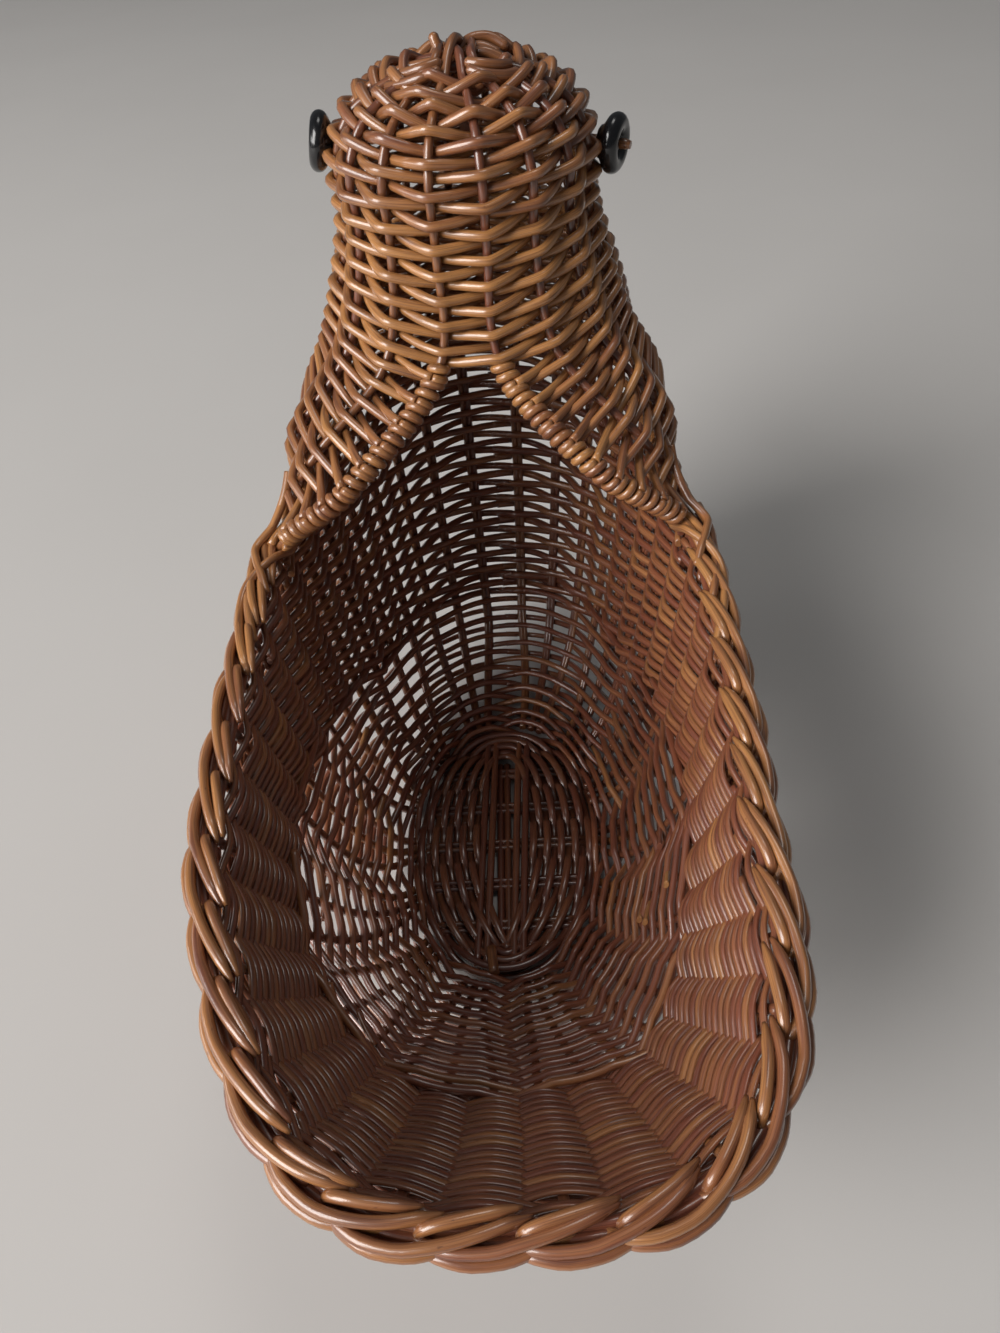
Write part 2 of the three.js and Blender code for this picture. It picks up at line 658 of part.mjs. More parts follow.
for (let k = 0; k < CROSS_STICKS; k += 1) {
  const y = (k - (CROSS_STICKS - 1) / 2) * CROSS_STICK_SPACING;
  const reach = matReachAt(y, 2 * matReach, matWidth) - STAKE_DIAMETER;
  const left = new THREE.Vector3(-reach, y, crossHeight);
  addStick(`base_cross_stick_${k + 1}`, left, new THREE.Vector3(reach, y, crossHeight));
}
add("base_mat", threaded(loft(matRings, false), stickTools), REED);

// Eyes: black buttons with a raised rim, each on a reed peg
const EYE_TURNS = 20;
function turned(profile, turns, place) {
  const rings = [];
  for (let k = 0; k < turns; k += 1) {
    const angle = (2 * Math.PI * k) / turns;
    rings.push(profile.map(([r, h]) => place(r * Math.cos(angle), r * Math.sin(angle), h)));
  }
  return loft(rings, true);
}
const hole = PEG_DIAMETER / 2 + CLEARANCE;
const faceHeight = EYE_HUB_HEIGHT + EYE_FACE_HEIGHT;
const rimHeight = EYE_HUB_HEIGHT + EYE_RIM_HEIGHT;
const eyeProfile = [
  [hole, faceHeight],
  [EYE_DIAMETER / 2 - EYE_RIM, faceHeight],
  [EYE_DIAMETER / 2 - EYE_RIM, rimHeight - EYE_RIM / 2],
  [EYE_DIAMETER / 2 - EYE_RIM / 2, rimHeight],
  [EYE_DIAMETER / 2, rimHeight - EYE_RIM / 2],
  [EYE_DIAMETER / 2, EYE_HUB_HEIGHT + EYE_RIM / 2],
  [EYE_DIAMETER / 2 - EYE_RIM / 2, EYE_HUB_HEIGHT],
  [EYE_HUB_DIAMETER / 2, EYE_HUB_HEIGHT],
  [EYE_HUB_DIAMETER / 2, 0],
  [hole, 0],
];
const eyeSeat = HEAD_DIAMETER / 2 + CLEARANCE;
for (const [word, side] of [["right", 1], ["left", -1]]) {
  const place = (u, v, h) => new THREE.Vector3(side * (eyeSeat + h), HEAD_Y + side * u, EYE_HEIGHT + v);
  add(`eye_${word}`, turned(eyeProfile, EYE_TURNS, place), BLACK_PLASTIC);
  add(`eye_peg_${word}`, peg(side, PEG_DIAMETER), STAKE_REED);
}

// Beak: a small cone on a stem pushed into the front of the head
const beakSeat = HEAD_Y + HEAD_DIAMETER / 2 + CLEARANCE;
const BEAK_TURNS = 14;
const TIP_SHARE = 0.12;
const beakRings = [1, TIP_SHARE].map((size, k) => {
  const ring = [];
  for (let i = 0; i < BEAK_TURNS; i += 1) {
    const angle = (2 * Math.PI * i) / BEAK_TURNS;
    const r = (size * BEAK_DIAMETER) / 2;
    const height = BEAK_HEIGHT - r * Math.sin(angle);
    ring.push(new THREE.Vector3(r * Math.cos(angle), beakSeat + k * BEAK_LENGTH, height));
  }
  return ring;
});
const stemReach = WEAVE_THICKNESS + 2 * CLEARANCE + BEAK_LENGTH / 4;
add("beak", loft(beakRings, false).add(beakStem(BEAK_STEM_DIAMETER, stemReach)), REED);

// The origin is the middle of the footprint, on the table
group.updateMatrixWorld(true);
const bounds = new THREE.Box3().setFromObject(group);
const centre = bounds.getCenter(new THREE.Vector3());
for (const mesh of group.children) {
  mesh.geometry.translate(-centre.x, -centre.y, -bounds.min.z);
}

export default group;
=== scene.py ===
import math

import bpy
import numpy as np
from mathutils import Matrix, Vector


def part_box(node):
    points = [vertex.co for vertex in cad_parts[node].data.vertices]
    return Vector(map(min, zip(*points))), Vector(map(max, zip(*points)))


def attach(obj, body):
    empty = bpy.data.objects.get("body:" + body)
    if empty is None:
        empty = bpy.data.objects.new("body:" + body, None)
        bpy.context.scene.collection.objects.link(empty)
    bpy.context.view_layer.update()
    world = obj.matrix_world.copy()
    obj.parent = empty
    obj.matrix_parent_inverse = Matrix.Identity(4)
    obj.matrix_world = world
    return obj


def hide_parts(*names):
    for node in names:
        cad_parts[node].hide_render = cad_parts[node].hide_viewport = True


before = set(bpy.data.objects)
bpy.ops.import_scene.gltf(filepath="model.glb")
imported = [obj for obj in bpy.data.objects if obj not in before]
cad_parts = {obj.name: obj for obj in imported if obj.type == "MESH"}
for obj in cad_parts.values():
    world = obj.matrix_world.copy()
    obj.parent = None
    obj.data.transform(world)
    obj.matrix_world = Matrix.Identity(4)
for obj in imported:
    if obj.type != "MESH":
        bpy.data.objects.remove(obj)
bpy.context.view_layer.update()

# The woven skin
# The surface halfway through the weave, which every stake and weaver of the basket follows: an oval base,
# a bowl that flares into an open tail, shoulders, a neck and a domed head. Sizes are in millimetres.
MM = 0.001
STAKE = 2.6
WEAVER = 2.5
HALF_WEAVE = STAKE / 2 + WEAVER
BASE_LENGTH = 97
BASE_WIDTH = 58
BASE_ROUNDNESS = 2.2
RIM_WIDTH = 130
TAIL_REACH = 145
TAIL_HEIGHT = 98
FOOT_HEIGHT = 110
FOOT_Y = 30
WIDEST_Y = -18
BREAST_REACH = 142
BORDER = 9
TAIL_ROUNDNESS = 3
BREAST_ROUNDNESS = 2.2
TAIL_CURVE = 1.3
SIDE_CURVE = 2.4
BREAST_CURVE = 2.8
SHOULDER_HEIGHT = 128
SHOULDER_WIDTH = 112
SHOULDER_Y = 62
SHOULDER_FRONT = 140
SHOULDER_BACK = 14
SHOULDER_OPEN = math.radians(40)
SHOULDER_GATHER = 1.2
ARCH_HEIGHT = 150
ARCH_WIDTH = 90
ARCH_Y = 83
ARCH_FRONT = 135
ARCH_BACK = 45
HEAD_Y = 87
THROAT_HEIGHT = 178
EYE_HEIGHT = 193
HEAD = 73
HEAD_TOP = 215.5
DOME_STEPS = np.radians([30, 54, 70])
NECK_STAKES = 8
TAIL_STAKES = 13
SIDE_STAKES = NECK_STAKES + TAIL_STAKES
EDGE_STAKE = NECK_STAKES - 1
RIM_LEVEL = 1
ARCH_LEVEL = 3
CROWN_LEVEL = 8
RIM_LEAD = 0.8
BOW_AT = (-136, -117, -93, -65, 34, 87)
BOW = (3.3, 2.8, 0.4, -3, -1.6, 1.0)
OVAL_POINTS = 361

base_low, base_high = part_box("base_mat")
BASE_MIDDLE_Y = (base_low[1] + base_high[1]) / 2 / MM


def half_oval(width, front, back, middle, front_power, back_power):
    """Right half of an oval from its front point to its back point, and the distance along it."""
    angle = np.linspace(0, np.pi, OVAL_POINTS)
    c = np.cos(angle)
    power = np.where(c >= 0, front_power, back_power)
    reach = np.where(c >= 0, front - middle, middle - back)
    x = width / 2 * np.abs(np.sin(angle)) ** (2 / power)
    y = middle + np.sign(c) * reach * np.abs(c) ** (2 / power)
    along = np.concatenate([[0], np.cumsum(np.hypot(np.diff(x), np.diff(y)))])
    return x, y, along


def point_along(oval, distance):
    x, y, along = oval
    return np.interp(distance, along, x), np.interp(distance, along, y)


base_oval = half_oval(BASE_WIDTH, BASE_LENGTH / 2, -BASE_LENGTH / 2, 0, BASE_ROUNDNESS, BASE_ROUNDNESS)
rim_oval = half_oval(
    RIM_WIDTH - BORDER,
    BREAST_REACH - HALF_WEAVE,
    BORDER / 2 - TAIL_REACH,
    WIDEST_Y,
    BREAST_ROUNDNESS,
    TAIL_ROUNDNESS,
)
foot_distance = np.interp(-FOOT_Y, -rim_oval[1], rim_oval[2])
front_step = foot_distance / (NECK_STAKES - 0.5)
tail_step = (rim_oval[2][-1] - foot_distance) / (TAIL_STAKES + 0.5)


def wall(stake, share):
    """Points of the wall. Stakes count from the front centre, and a share runs from the base to the top."""
    at_front = (stake + 0.5) * front_step
    at_tail = foot_distance + (stake - EDGE_STAKE) * tail_step
    top_x, top_y = point_along(rim_oval, np.where(stake <= EDGE_STAKE, at_front, at_tail))
    low_x, low_y = point_along(base_oval, (stake + 0.5) * base_oval[2][-1] / SIDE_STAKES)
    ahead = top_y / np.hypot(top_x, top_y)
    end_curve = np.where(ahead > 0, BREAST_CURVE, TAIL_CURVE)
    curve = SIDE_CURVE + (end_curve - SIDE_CURVE) * ahead**2
    rise = (FOOT_HEIGHT - TAIL_HEIGHT) / (FOOT_Y + TAIL_REACH)
    top_z = TAIL_HEIGHT - BORDER / 2 + rise * (top_y + TAIL_REACH)
    x = low_x + (top_x - low_x) * share
    y = low_y + (top_y - low_y) * share
    z = HALF_WEAVE + (top_z - HALF_WEAVE) * share**curve
    return np.stack([x, y, z], -1)


def ring_point(angle, width, front, back, middle, height):
    c = np.cos(angle)
    reach = np.where(c > 0, front - HALF_WEAVE - middle, middle - back - HALF_WEAVE)
    return np.stack([(width / 2 - HALF_WEAVE) * np.sin(angle), middle + c * reach, height + 0 * angle], -1)


def neck_marks(stake):
    """The places a neck stake passes: below the rim, rim, shoulder, arch, throat, eyes and dome."""
    turn = (stake + 0.5) * np.pi / NECK_STAKES
    spread = ((stake + 0.5) / (NECK_STAKES - 0.5)) ** SHOULDER_GATHER * (np.pi - SHOULDER_OPEN)
    closing = np.clip((stake - EDGE_STAKE) * 2, 0, 1)
    spread = spread * (1 - closing) + np.pi * closing
    head = HEAD / 2
    marks = [
        wall(stake, RIM_LEAD),
        wall(stake, RIM_LEVEL),
        ring_point(spread, SHOULDER_WIDTH, SHOULDER_FRONT, SHOULDER_BACK, SHOULDER_Y, SHOULDER_HEIGHT),
        ring_point(turn, ARCH_WIDTH, ARCH_FRONT, ARCH_BACK, ARCH_Y, ARCH_HEIGHT),
        ring_point(turn, HEAD, HEAD_Y + head, HEAD_Y - head, HEAD_Y, THROAT_HEIGHT),
        ring_point(turn, HEAD, HEAD_Y + head, HEAD_Y - head, HEAD_Y, EYE_HEIGHT),
    ]
    for up in DOME_STEPS:
        out = (head - HALF_WEAVE) * math.cos(up)
        height = EYE_HEIGHT + (HEAD_TOP - HALF_WEAVE - EYE_HEIGHT) * math.sin(up)
        marks.append(np.stack([out * np.sin(turn), HEAD_Y + out * np.cos(turn), height + 0 * turn], -1))
    marks.append(2 * marks[-1] - marks[-2])
    return np.stack(marks, -2)


def smooth_between(p, share):
    """A centripetal curve between the middle two of four points."""
    steps = [np.sqrt(np.linalg.norm(p[k + 1] - p[k], axis=-1, keepdims=True)) for k in range(3)]
    t = [0, steps[0], steps[0] + steps[1], steps[0] + steps[1] + steps[2]]
    u = t[1] + steps[1] * share
    a = [(t[k + 1] - u) / steps[k] * p[k] + (u - t[k]) / steps[k] * p[k + 1] for k in range(3)]
    b = [((t[k + 2] - u) * a[k] + (u - t[k]) * a[k + 1]) / (t[k + 2] - t[k]) for k in range(2)]
    return ((t[2] - u) * b[0] + (u - t[1]) * b[1]) / steps[1]


def skin(stake, level):
    """Points of the skin: level 0 is the base, 1 the wall's top, the rest are marks of a neck stake."""
    stake, level = np.broadcast_arrays(np.asarray(stake, float), np.asarray(level, float))
    points = wall(stake, np.minimum(level, RIM_LEVEL))
    high = level > RIM_LEVEL
    if high.any():
        marks = neck_marks(np.minimum(stake[high], NECK_STAKES - 0.5))
        span = np.clip(np.floor(level[high]).astype(int), RIM_LEVEL, CROWN_LEVEL - 1)
        row = np.arange(len(span))
        four = [marks[row, span + k] for k in (-1, 0, 1, 2)]
        points[high] = smooth_between(four, (level[high] - span)[:, None])
    points[..., 1] += BASE_MIDDLE_Y
    return points


def bowed(points):
    """The basket isn't quite straight: its middle bows to one side and its tail to the other."""
    shifted = points.copy()
    shifted[:, 0] += np.interp(points[:, 1] - BASE_MIDDLE_Y, BOW_AT, BOW)
    return shifted


def unit(vectors):
    return vectors / np.maximum(np.linalg.norm(vectors, axis=-1, keepdims=True), 1e-9)


def on_skin(turn, level, stakes_per_side, offset, has_neck):
    """Points some way out of the skin. Turns count stakes from the front centre round by the right."""
    turn = np.mod(turn, 2 * stakes_per_side)
    right = turn <= stakes_per_side
    stake = np.where(right, turn, 2 * stakes_per_side - turn) - 0.5
    level = level + 0 * stake
    middle = skin(stake, level)
    near = 0.04
    top = CROWN_LEVEL if has_neck else RIM_LEVEL
    up = skin(stake, np.minimum(level + near, top)) - skin(stake, np.maximum(level - near, 0))
    last = stakes_per_side - 0.5
    around = skin(np.minimum(stake + near, last), level) - skin(np.maximum(stake - near, -0.5), level)
    out = unit(np.cross(unit(up), unit(around)))
    points = middle + out * np.reshape(offset + 0 * stake, stake.shape + (1,))
    side = np.where(right, 1.0, -1.0)
    points[..., 0] *= side
    out[..., 0] *= side
    return points, out


# Varnished reed
# Round reed dyed brown and varnished, glossier in some places than in others. Fine fibres run along each
# strand, its tone changes slowly and no two match. Stakes are darker than weavers. The base is darkest as
# painted shade: its reed is a darker copy that stands in for the shade under and inside the basket.
class Shade:
    """A shader socket that can be added, multiplied and mixed."""

    def __init__(self, tree, socket):
        self.tree = tree
        self.socket = socket

    def make(self, kind, settings, inputs, output=0):
        node = self.tree.nodes.new(kind)
        for name, value in settings.items():
            setattr(node, name, value)
        for name, value in inputs.items():
            if isinstance(value, Shade):
                self.tree.links.new(value.socket, node.inputs[name])
            else:
                node.inputs[name].default_value = value
        return Shade(self.tree, node.outputs[output])

    def math(self, operation, first, second):
        return self.make("ShaderNodeMath", {"operation": operation}, {0: first, 1: second})

    def __add__(self, other):
        return self.math("ADD", self, other)

    def __radd__(self, other):
        return self.math("ADD", other, self)

    def __sub__(self, other):
        return self.math("SUBTRACT", self, other)

    def __rsub__(self, other):
        return self.math("SUBTRACT", other, self)

    def __mul__(self, other):
        return self.math("MULTIPLY", self, other)

    def __rmul__(self, other):
        return self.math("MULTIPLY", other, self)

    def wave(self, operation):
        return self.math(operation, self, 0.0)

    def between(self, low, high):
        """0 below low, 1 above high, and smooth between them."""
        settings = {"interpolation_type": "SMOOTHSTEP"}
        return self.make("ShaderNodeMapRange", settings, {"Value": self, "From Min": low, "From Max": high})

    def mix(self, first, second):
        """The first colour where this is 0 and the second where it is 1."""
        settings = {"data_type": "RGBA"}
        return self.make("ShaderNodeMix", settings, {0: self, 6: first, 7: second}, 2)

    def noise(self, x, y, z, scale, detail):
        place = self.make("ShaderNodeCombineXYZ", {}, {0: x, 1: y, 2: z})
        return self.make("ShaderNodeTexNoise", {}, {"Vector": place, "Scale": scale, "Detail": detail})


def new_material(name):
    material = bpy.data.materials.new(name)
    material.use_nodes = True
    tree = material.node_tree
    shader = tree.nodes["Principled BSDF"]
    return material, tree, shader, Shade(tree, None)


MAP_UNIT = 100
TONE_SHIFT = 37.0


def reed(name, russet, golden, dark):
    """Reed from russet to golden by its strand's tone. Its map counts a strand's length in map units."""
    material, tree, shader, maker = new_material(name)
    place = maker.make("ShaderNodeUVMap", {"uv_map": "Strand"}, {})
    along = maker.make("ShaderNodeSeparateXYZ", {}, {0: place}, 0)
    around = maker.make("ShaderNodeSeparateXYZ", {}, {0: place}, 1) * (2 * math.pi)
    tone = maker.make("ShaderNodeAttribute", {"attribute_name": "tone"}, {}, 2)
    x = around.wave("COSINE")
    y = around.wave("SINE")
    length = along + tone * TONE_SHIFT
    fibres = maker.noise(x * 3.0, y * 3.0, length * 2.0, 3.0, 4.0)
    patches = maker.noise(x * 0.4, y * 0.4, length * 3.0, 2.0, 2.0)
    specks = maker.noise(x * 2.0, y * 2.0, length * 60.0, 1.0, 2.0)
    colour = (tone * 0.8 + patches * 0.7 - 0.3).between(0.0, 0.95).mix(russet, golden)
    shade = (1.0 - fibres.between(0.35, 0.6)) * 0.45 + (1.0 - patches.between(0.3, 0.5)) * 0.3
    colour = shade.mix(colour, dark)
    colour = (specks.between(0.68, 0.76) * 0.5).mix(colour, dark)
    tree.links.new(colour.socket, shader.inputs["Base Color"])
    rough = 0.42 - patches * 0.2 + fibres * 0.1
    tree.links.new(rough.socket, shader.inputs["Roughness"])
    shader.inputs["Coat Weight"].default_value = 1.0
    shader.inputs["Coat Roughness"].default_value = 0.16
    bump = maker.make("ShaderNodeBump", {}, {"Strength": 0.2, "Distance": 0.0002, "Height": fibres})
    tree.links.new(bump.socket, shader.inputs["Normal"])
    return material


WEAVER_REED = reed(
    "weaver_reed", (0.216, 0.064, 0.033, 1), (0.5, 0.228, 0.074, 1), (0.065, 0.019, 0.012, 1)
)
STAKE_REED = reed("stake_reed", (0.185, 0.057, 0.027, 1), (0.31, 0.125, 0.043, 1), (0.06, 0.019, 0.012, 1))
# A darker copy of the reed for the base: painted shade for the shade that falls on the base.
BASE_REED_PAINTED_SHADE = reed("base_reed_painted_shade", (0.15, 0.045, 0.025, 1), (0.3, 0.125, 0.045, 1), (0.05, 0.015, 0.01, 1))
STEEP = 0.9
STRIP_ROUNDNESS = 0.75
# In the map for baking, each strand has a band, and its two cut ends share a spot at the band's end
BAND_MARGIN = 0.04
BAND_START = 0.004
BAND_LENGTH = 0.98
END_SPOT = 0.993
END_SPOT_SIZE = (0.004, 0.4)
chance = np.random.default_rng(11)


class Strand:
    """A path with its width and tone. A strip also has the way its face looks out, and its thickness."""

    def __init__(self, points, width, tone, out=None, thickness=None):
        self.points = bowed(points)
        self.width = np.broadcast_to(width, len(points))
        self.tone = tone
        self.out = out
        self.thickness = self.width if thickness is None else np.broadcast_to(thickness, len(points))

    def facing(self):
        """Two directions across the path at each point, kept from twisting where no face is given."""
        ahead = unit(np.gradient(self.points, axis=0))
        if self.out is not None:
            across = unit(np.cross(self.out, ahead))
            return across, np.cross(ahead, across)
        start = np.array([0.0, 0.0, 1.0]) if abs(ahead[0, 2]) < STEEP else np.array([1.0, 0.0, 0.0])
        side = np.cross(ahead[0], start)
        across = np.empty_like(ahead)
        for k, direction in enumerate(ahead):
            side = side - direction * side.dot(direction)
            side = side / np.sqrt(side.dot(side))
            across[k] = side
        return across, np.cross(ahead, across)

    def rings(self, sides):
        across, face = self.facing()
        angle = np.arange(sides) * 2 * np.pi / sides
        flatness = STRIP_ROUNDNESS if self.thickness is not self.width else 1.0
        c = np.sign(np.cos(angle)) * np.abs(np.cos(angle)) ** flatness
        s = np.sign(np.sin(angle)) * np.abs(np.sin(angle)) ** flatness
        wide = self.width[:, None, None] / 2 * c[None, :, None] * across[:, None]
        thick = self.thickness[:, None, None] / 2 * s[None, :, None] * face[:, None]
        return self.points[:, None] + wide + thick


def strand_object(name, strands, material, sides=8):
    """One mesh of many strands. Each is a tube with cut ends, and has a band of the map to itself."""
    vertices, corners, totals, maps, bakes, tones = [], [], [], [], [], []
    first = 0
    for index, strand in enumerate(strands):
        points = strand.points
        count = len(points)
        vertices.append(strand.rings(sides).reshape(-1, 3))
        distance = np.concatenate([[0], np.cumsum(np.linalg.norm(np.diff(points, axis=0), axis=1))])
        k, i = np.meshgrid(np.arange(count - 1), np.arange(sides), indexing="ij")
        k, i = k.ravel(), i.ravel()
        j = (i + 1) % sides
        here, beyond = first + k * sides, first + (k + 1) * sides
        corners.append(np.stack([here + i, here + j, beyond + j, beyond + i], 1).ravel())
        totals.append(np.full(len(k), 4))
        u = np.stack([distance[k], distance[k], distance[k + 1], distance[k + 1]], 1).ravel()
        v = np.stack([i, i + 1, i + 1, i], 1).ravel() / sides
        maps.append(np.stack([u / MAP_UNIT, v], 1))
        band = (index + BAND_MARGIN + (1 - 2 * BAND_MARGIN) * v) / len(strands)
        bakes.append(np.stack([BAND_START + BAND_LENGTH * u / distance[-1], band], 1))
        turn = np.arange(sides)
        for ring, order in ((0, turn[::-1]), (count - 1, turn)):
            corners.append(first + ring * sides + order)
            totals.append(np.array([sides]))
            maps.append(np.stack([np.full(sides, distance[ring] / MAP_UNIT), order / sides], 1))
            angle = order * 2 * np.pi / sides
            spot_u = END_SPOT + END_SPOT_SIZE[0] * np.cos(angle)
            spot_v = (index + 0.5 + END_SPOT_SIZE[1] * np.sin(angle)) / len(strands)
            bakes.append(np.stack([spot_u, spot_v], 1))
        tones.append(np.full(len(k) + 2, strand.tone))
        first += count * sides
    return fill_object(name, vertices, corners, totals, maps, bakes, tones, material)


def fill_object(name, vertices, corners, totals, maps, bakes, tones, material):
    mesh = bpy.data.meshes.new(name)
    vertices = np.concatenate(vertices) * MM
    corners = np.concatenate(corners)
    totals = np.concatenate(totals)
    mesh.vertices.add(len(vertices))
    mesh.vertices.foreach_set("co", vertices.ravel())
    mesh.loops.add(len(corners))
    mesh.loops.foreach_set("vertex_index", corners)
    mesh.polygons.add(len(totals))
    mesh.polygons.foreach_set("loop_start", np.concatenate([[0], np.cumsum(totals)[:-1]]))
    mesh.polygons.foreach_set("loop_total", totals)
    mesh.polygons.foreach_set("use_smooth", totals == 4)
    for map_name, values in (("Strand", maps), ("OFBake", bakes)):
        layer = mesh.uv_layers.new(name=map_name)
        layer.data.foreach_set("uv", np.concatenate(values).ravel())
    tone = mesh.attributes.new("tone", "FLOAT", "FACE")
    tone.data.foreach_set("value", np.concatenate(tones))
    mesh.update(calc_edges=True)
    mesh.validate()
    mesh.materials.append(material)
    piece = bpy.data.objects.new(name, mesh)
    bpy.context.scene.collection.objects.link(piece)
    return piece


def settle(piece, slot, *nodes):
    """The piece stands for these nodes and stays with the basket."""
    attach(piece, "root")
    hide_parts(*nodes)


# The base
# Reed sticks laid lengthwise in two pairs, on crosswise pairs, with weavers going round them in long ovals,
# over one and under the next. The basket stands on it, and the ends of the stakes are pushed in between its
# rows. One cut end of reed lies on it at the tail end.
LONG_STICK_PLACES = (-7.2, -4.4, 3.8, 6.6)
LONG_STICK_SLANT = 1.6
LONG_STICK_POINTS = 24
CROSS_STICKS = 5
CROSS_STICK_SPACING = 15
CROSS_STICK_POINTS = 16
CROSS_DROP = 1.3
BASE_ROD = 2.4
CROSS_ROD = BASE_ROD * 0.95
STUB_WAY = ((-3.5, 0, 3.4), (-4.5, 9, 2.4))
STUB_POINTS = 6
STUB_WIDTH = 3.2
STUB_TONE = 1.0
BASE_TONES = (0, 0.5)
base_sticks = []


def oval_reach(position, span, other_span):
    return other_span / 2 * (1 - abs(2 * position / span) ** BASE_ROUNDNESS) ** (1 / BASE_ROUNDNESS)


def straight(start, end, count):
    share = np.linspace(0, 1, count)[:, None]
    return np.array(start) * (1 - share) + np.array(end) * share


for x in LONG_STICK_PLACES:
    reach = oval_reach(x, BASE_WIDTH, BASE_LENGTH) - BASE_ROD
    height = HALF_WEAVE + CROSS_DROP
    near_end = (x - LONG_STICK_SLANT, BASE_MIDDLE_Y - reach, height)
    far_end = (x + LONG_STICK_SLANT, BASE_MIDDLE_Y + reach, height)
    points = straight(near_end, far_end, LONG_STICK_POINTS)
    base_sticks.append(Strand(points, BASE_ROD, chance.uniform(*BASE_TONES)))
for k in range(CROSS_STICKS):
    y = (k - (CROSS_STICKS - 1) / 2) * CROSS_STICK_SPACING
    reach = oval_reach(y, BASE_LENGTH, BASE_WIDTH) - BASE_ROD
    height = HALF_WEAVE - CROSS_DROP
    for side in (-0.5, 0.5):
        place = BASE_MIDDLE_Y + y + side * BASE_ROD
        ends = [(-reach, place, height), (reach, place, height)]
        points = straight(*ends, CROSS_STICK_POINTS)
        base_sticks.append(Strand(points, CROSS_ROD, chance.uniform(*BASE_TONES)))
stub_ends = np.array(STUB_WAY) + [0, BASE_MIDDLE_Y - BASE_LENGTH / 2, HALF_WEAVE]
base_sticks.append(Strand(straight(*stub_ends, STUB_POINTS), STUB_WIDTH, STUB_TONE))
# The base sticks take the darker base reed, which is painted shade.
piece = strand_object("base_sticks", base_sticks, BASE_REED_PAINTED_SHADE)
long_names = [f"base_long_stick_{k + 1}" for k in range(len(LONG_STICK_PLACES))]
cross_names = [f"base_cross_stick_{k + 1}" for k in range(CROSS_STICKS)]
settle(piece, "stake_reed", *long_names, *cross_names)

MAT_ROWS = 9
MAT_ROW_TURNS = 1.02
MAT_ROW_POINTS = 261
MAT_START_SPREAD = 6
MAT_INNER_LENGTH = 74
MAT_INNER_WIDTH = 19
MAT_NEAR_ROUNDNESS = 1.35
MAT_SWING = 1.9
MAT_FLATNESS = 0.6
MAT_THICKNESS = 2.0
MAT_HAIRPIN = (-1.6, 0.8)
MAT_HAIRPIN_REACH = MAT_INNER_LENGTH * 0.46
MAT_HAIRPIN_TONES = (0, 0.3)
mat_strands = []


def scallop(phase, flatness):
    """1 where a weaver passes outside a stake, -1 where it passes inside, with a quick crossing between."""
    c = np.cos(np.pi * phase)
    return np.sign(c) * np.abs(c) ** flatness


for row in range(MAT_ROWS):
    share = row / (MAT_ROWS - 1)
    half_length = (MAT_INNER_LENGTH + (BASE_LENGTH - WEAVER - MAT_INNER_LENGTH) * share) / 2
    half_width = (MAT_INNER_WIDTH + (BASE_WIDTH - WEAVER - MAT_INNER_WIDTH) * share) / 2
    start = chance.random() * MAT_START_SPREAD
    angle = start + np.linspace(0, 2 * np.pi * MAT_ROW_TURNS, MAT_ROW_POINTS)
    c, s = np.cos(angle), np.sin(angle)
    near_power = MAT_NEAR_ROUNDNESS + (BASE_ROUNDNESS - MAT_NEAR_ROUNDNESS) * share
    power = np.where(c < 0, near_power, BASE_ROUNDNESS)
    x = half_width * np.sign(s) * np.abs(s) ** (2 / power)
    y = half_length * np.sign(c) * np.abs(c) ** (2 / power)
    z = HALF_WEAVE + MAT_SWING * scallop(y / CROSS_STICK_SPACING + row, MAT_FLATNESS)
    points = np.stack([x, y + BASE_MIDDLE_Y, z], -1)
    out = np.tile([0.0, 0.0, 1.0], (len(points), 1))
    mat_strands.append(Strand(points, WEAVER, chance.uniform(*BASE_TONES), out, MAT_THICKNESS))
for x in MAT_HAIRPIN:
    ends = [(x, BASE_MIDDLE_Y + end * MAT_HAIRPIN_REACH, WEAVER) for end in (-1, 1)]
    points = straight(*ends, LONG_STICK_POINTS)
    mat_strands.append(Strand(points, WEAVER, chance.uniform(*MAT_HAIRPIN_TONES)))
# The base weave takes the darker base reed, which is painted shade.
piece = strand_object("base_mat_weave", mat_strands, BASE_REED_PAINTED_SHADE)
settle(piece, "weaver_reed", "base_mat")

# The stakes
# Round rods, darker than the weavers, pushed into the base. Low down they stand in threes. Those of the tail
# end in the border. Those of the breast, which have thinner rods beside them in the wall, go on up the neck
# and cross over one another at the crown.
GROUP = 3
GROUP_SPREAD = 0.47
GROUP_END = 0.5
STAKE_START = 0.03
WALL_STAKE_POINTS = 44
NECK_STAKE_POINTS = 57
STAKE_WIDTH = 2.4
TAIL_STAKE_THICKNESS = 1.6
FLATTENING_LEVELS = (0.3, 0.7)
CROSS_SPACING = 2.8
CROSS_HALF = 2 * CROSS_SPACING
CROWN_LIFT = 1.1
CROWN_STEP = 1.5
BYE_STAKE = 1.9
BYE_STAKE_TURN = 0.11
BYE_STAKE_FIRST = 3
CROWN_END_STEP = 0.6
CROWN_END_WIDTH = STAKE_WIDTH * 1.1
CROWN_END_TIP = 0.6
CROWN_END_TONES = (0.6, 1)
